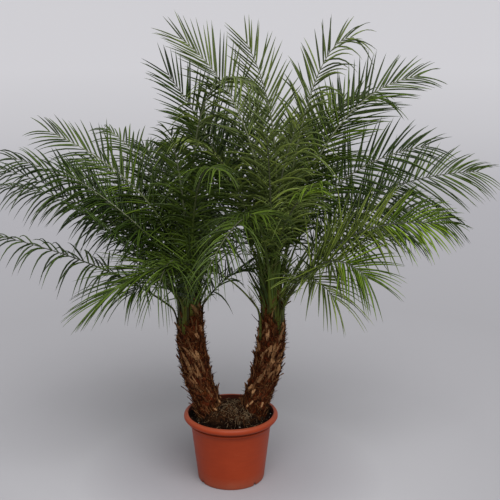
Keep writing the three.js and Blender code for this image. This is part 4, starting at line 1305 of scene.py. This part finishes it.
# %% [markdown]
# ### Blades round the shafts
# The first leaflets of the lowest fronds stand close round the shaft like a tuft of grass and hide most of
# the stalks. They are single blades here, rooted between the sheaths, that rise, lean out and bend over.
# %% Blades round the shafts
BLADES = 120  # round each shaft
BLADE_FOOT = (0.575, 0.690)
BLADE_LENGTH = (0.07, 0.17)
BLADE_HALF = 0.0030
BLADE_LEAN = (6, 38)  # degrees from upright
BLADE_ASTRAY = 0.25  # usual lean to one side, as a share
BLADE_BEND = 0.22  # how far the end bends down, as a share of the length


def shaft_blades(side, dice):
    """Rings, roots and tips of the blades round one shaft. Each rises by the cosine of its slant, leans out
    by its sine, and leans to one side at random."""
    column = (BLADES, 1, 1)
    turn, z = dice.uniform(0, 2 * np.pi, BLADES), dice.uniform(*BLADE_FOOT, BLADES)
    foot = round_trunk(side, turn, z, table(TRUNK_RADII, z))[:, None]
    out = polar(turn, 1.0, 0.0)[:, None]
    level = np.cross(UP, out) * dice.choice([-1, 1], column)
    slant = np.radians(dice.uniform(*BLADE_LEAN, column))
    astray = dice.normal(0, BLADE_ASTRAY, column)
    line = unit(UP * np.cos(slant) + out * np.sin(slant) + level * astray)
    length = dice.uniform(*BLADE_LENGTH, column)
    sag = BLADE_BEND * length * dice.uniform(0.4, 1.6, column)
    centre, heading, tip = hanging(foot, line, length, sag)
    ahead = unit(np.cross(heading, out))
    return gutter(centre, ahead, np.cross(ahead, heading), BLADE_HALF), foot[:, 0], tip


blade_sets = [shaft_blades(side, np.random.default_rng(350 + side)) for side in SIDES.values()]
add_leaflets("shaft_blades", blade_sets, "4f6322", (), 352)

# %% [markdown]
# ### Thorns
# The lowest leaflets of a date palm are thorns: stiff, sharp and yellowish, longer from one to the next
# until they turn into leaflets. A thorn is a thin three-sided spike from the side of the bare rib.
# %% Thorns
THORNS = 6  # on each side of a rib
THORN_SPAN = (0.045, 0.105)  # fractions of the rib
THORN_LENGTH = (0.014, 0.050)
THORN_ANGLE, THORN_LIFT = 0.85, 0.5  # usual angles off the rib and up from the blade's plane, in radians
THORN_STATIONS = np.array([0, 0.4, 0.8, 1.0])
THORN_RADII = np.array([1.1, 0.9, 0.45, 0.12]) * MM


def thorn_paths(rib, dice):
    """Straight lines from the sides of the bare rib, half forward and a little up."""
    paths = []
    for hand in (1, -1):
        t = np.linspace(*THORN_SPAN, THORNS) + dice.normal(0, 0.002, THORNS)
        root, along, across, face = (vectors[:, None] for vectors in rib.frame(t))
        share = ((t - THORN_SPAN[0]) / (THORN_SPAN[1] - THORN_SPAN[0]))[:, None, None]
        length = THORN_LENGTH[0] + (THORN_LENGTH[1] - THORN_LENGTH[0]) * share
        length = length * dice.uniform(0.8, 1.2, (THORNS, 1, 1))
        angle = dice.normal(THORN_ANGLE, 0.12, (THORNS, 1, 1))
        lift = dice.normal(THORN_LIFT, 0.2, (THORNS, 1, 1))
        line = aimed(along, hand * across, face, angle, lift)
        paths.append(root + line * length * THORN_STATIONS[:, None])
    return np.concatenate(paths)


thorns = np.concatenate([thorn_paths(rib, np.random.default_rng(400 + i)) for i, rib in enumerate(ribs)])
spikes = strands(thorns, np.broadcast_to(THORN_RADII, thorns.shape[:2]))
add_piece("thorns", spikes, [Finish("thorn", 0.4, 0.5, "6d7038")])

# %% [markdown]
# ## The floor
# The floor is a wide sheet of pale paper. Its tone changes a little from the pot outwards, as the light falls
# off and the far sweep catches more of it. It is part of the studio and not of the plant.
# %% The floor
FLOOR_HALF = 300.0
FLOOR_HALFWAY = 4.0  # metres from the pot at which the scale of the tones is half way
FLOOR_TONES = (
    (0.02, "a5a3a8"), (0.06, "acaaaf"), (0.11, "bab9bd"), (0.19, "adacb0"),
    (0.32, "a6a5a9"), (0.53, "adacb1"), (0.67, "c0bfc3"), (0.80, "cbcace"),
)

paper = Finish("paper_floor", 0.9, 0.1)
away = paper.node("ShaderNodeVectorMath", {"operation": "LENGTH"}, {0: paper.place}, out="Value")
paper.skin(paper.ramp(away / (away + FLOOR_HALFWAY), *FLOOR_TONES))
floor_mesh = bpy.data.meshes.new("floor")
floor_corners = np.array([(-1, -1, 0), (1, -1, 0), (1, 1, 0), (-1, 1, 0)]) * FLOOR_HALF
floor_mesh.from_pydata(floor_corners.tolist(), [], [(0, 1, 2, 3)])
floor_mesh.materials.append(paper.material)
floor = bpy.data.objects.new("floor", floor_mesh)
bpy.context.scene.collection.objects.link(floor)
print("floor", 2 * FLOOR_HALF, "m wide")
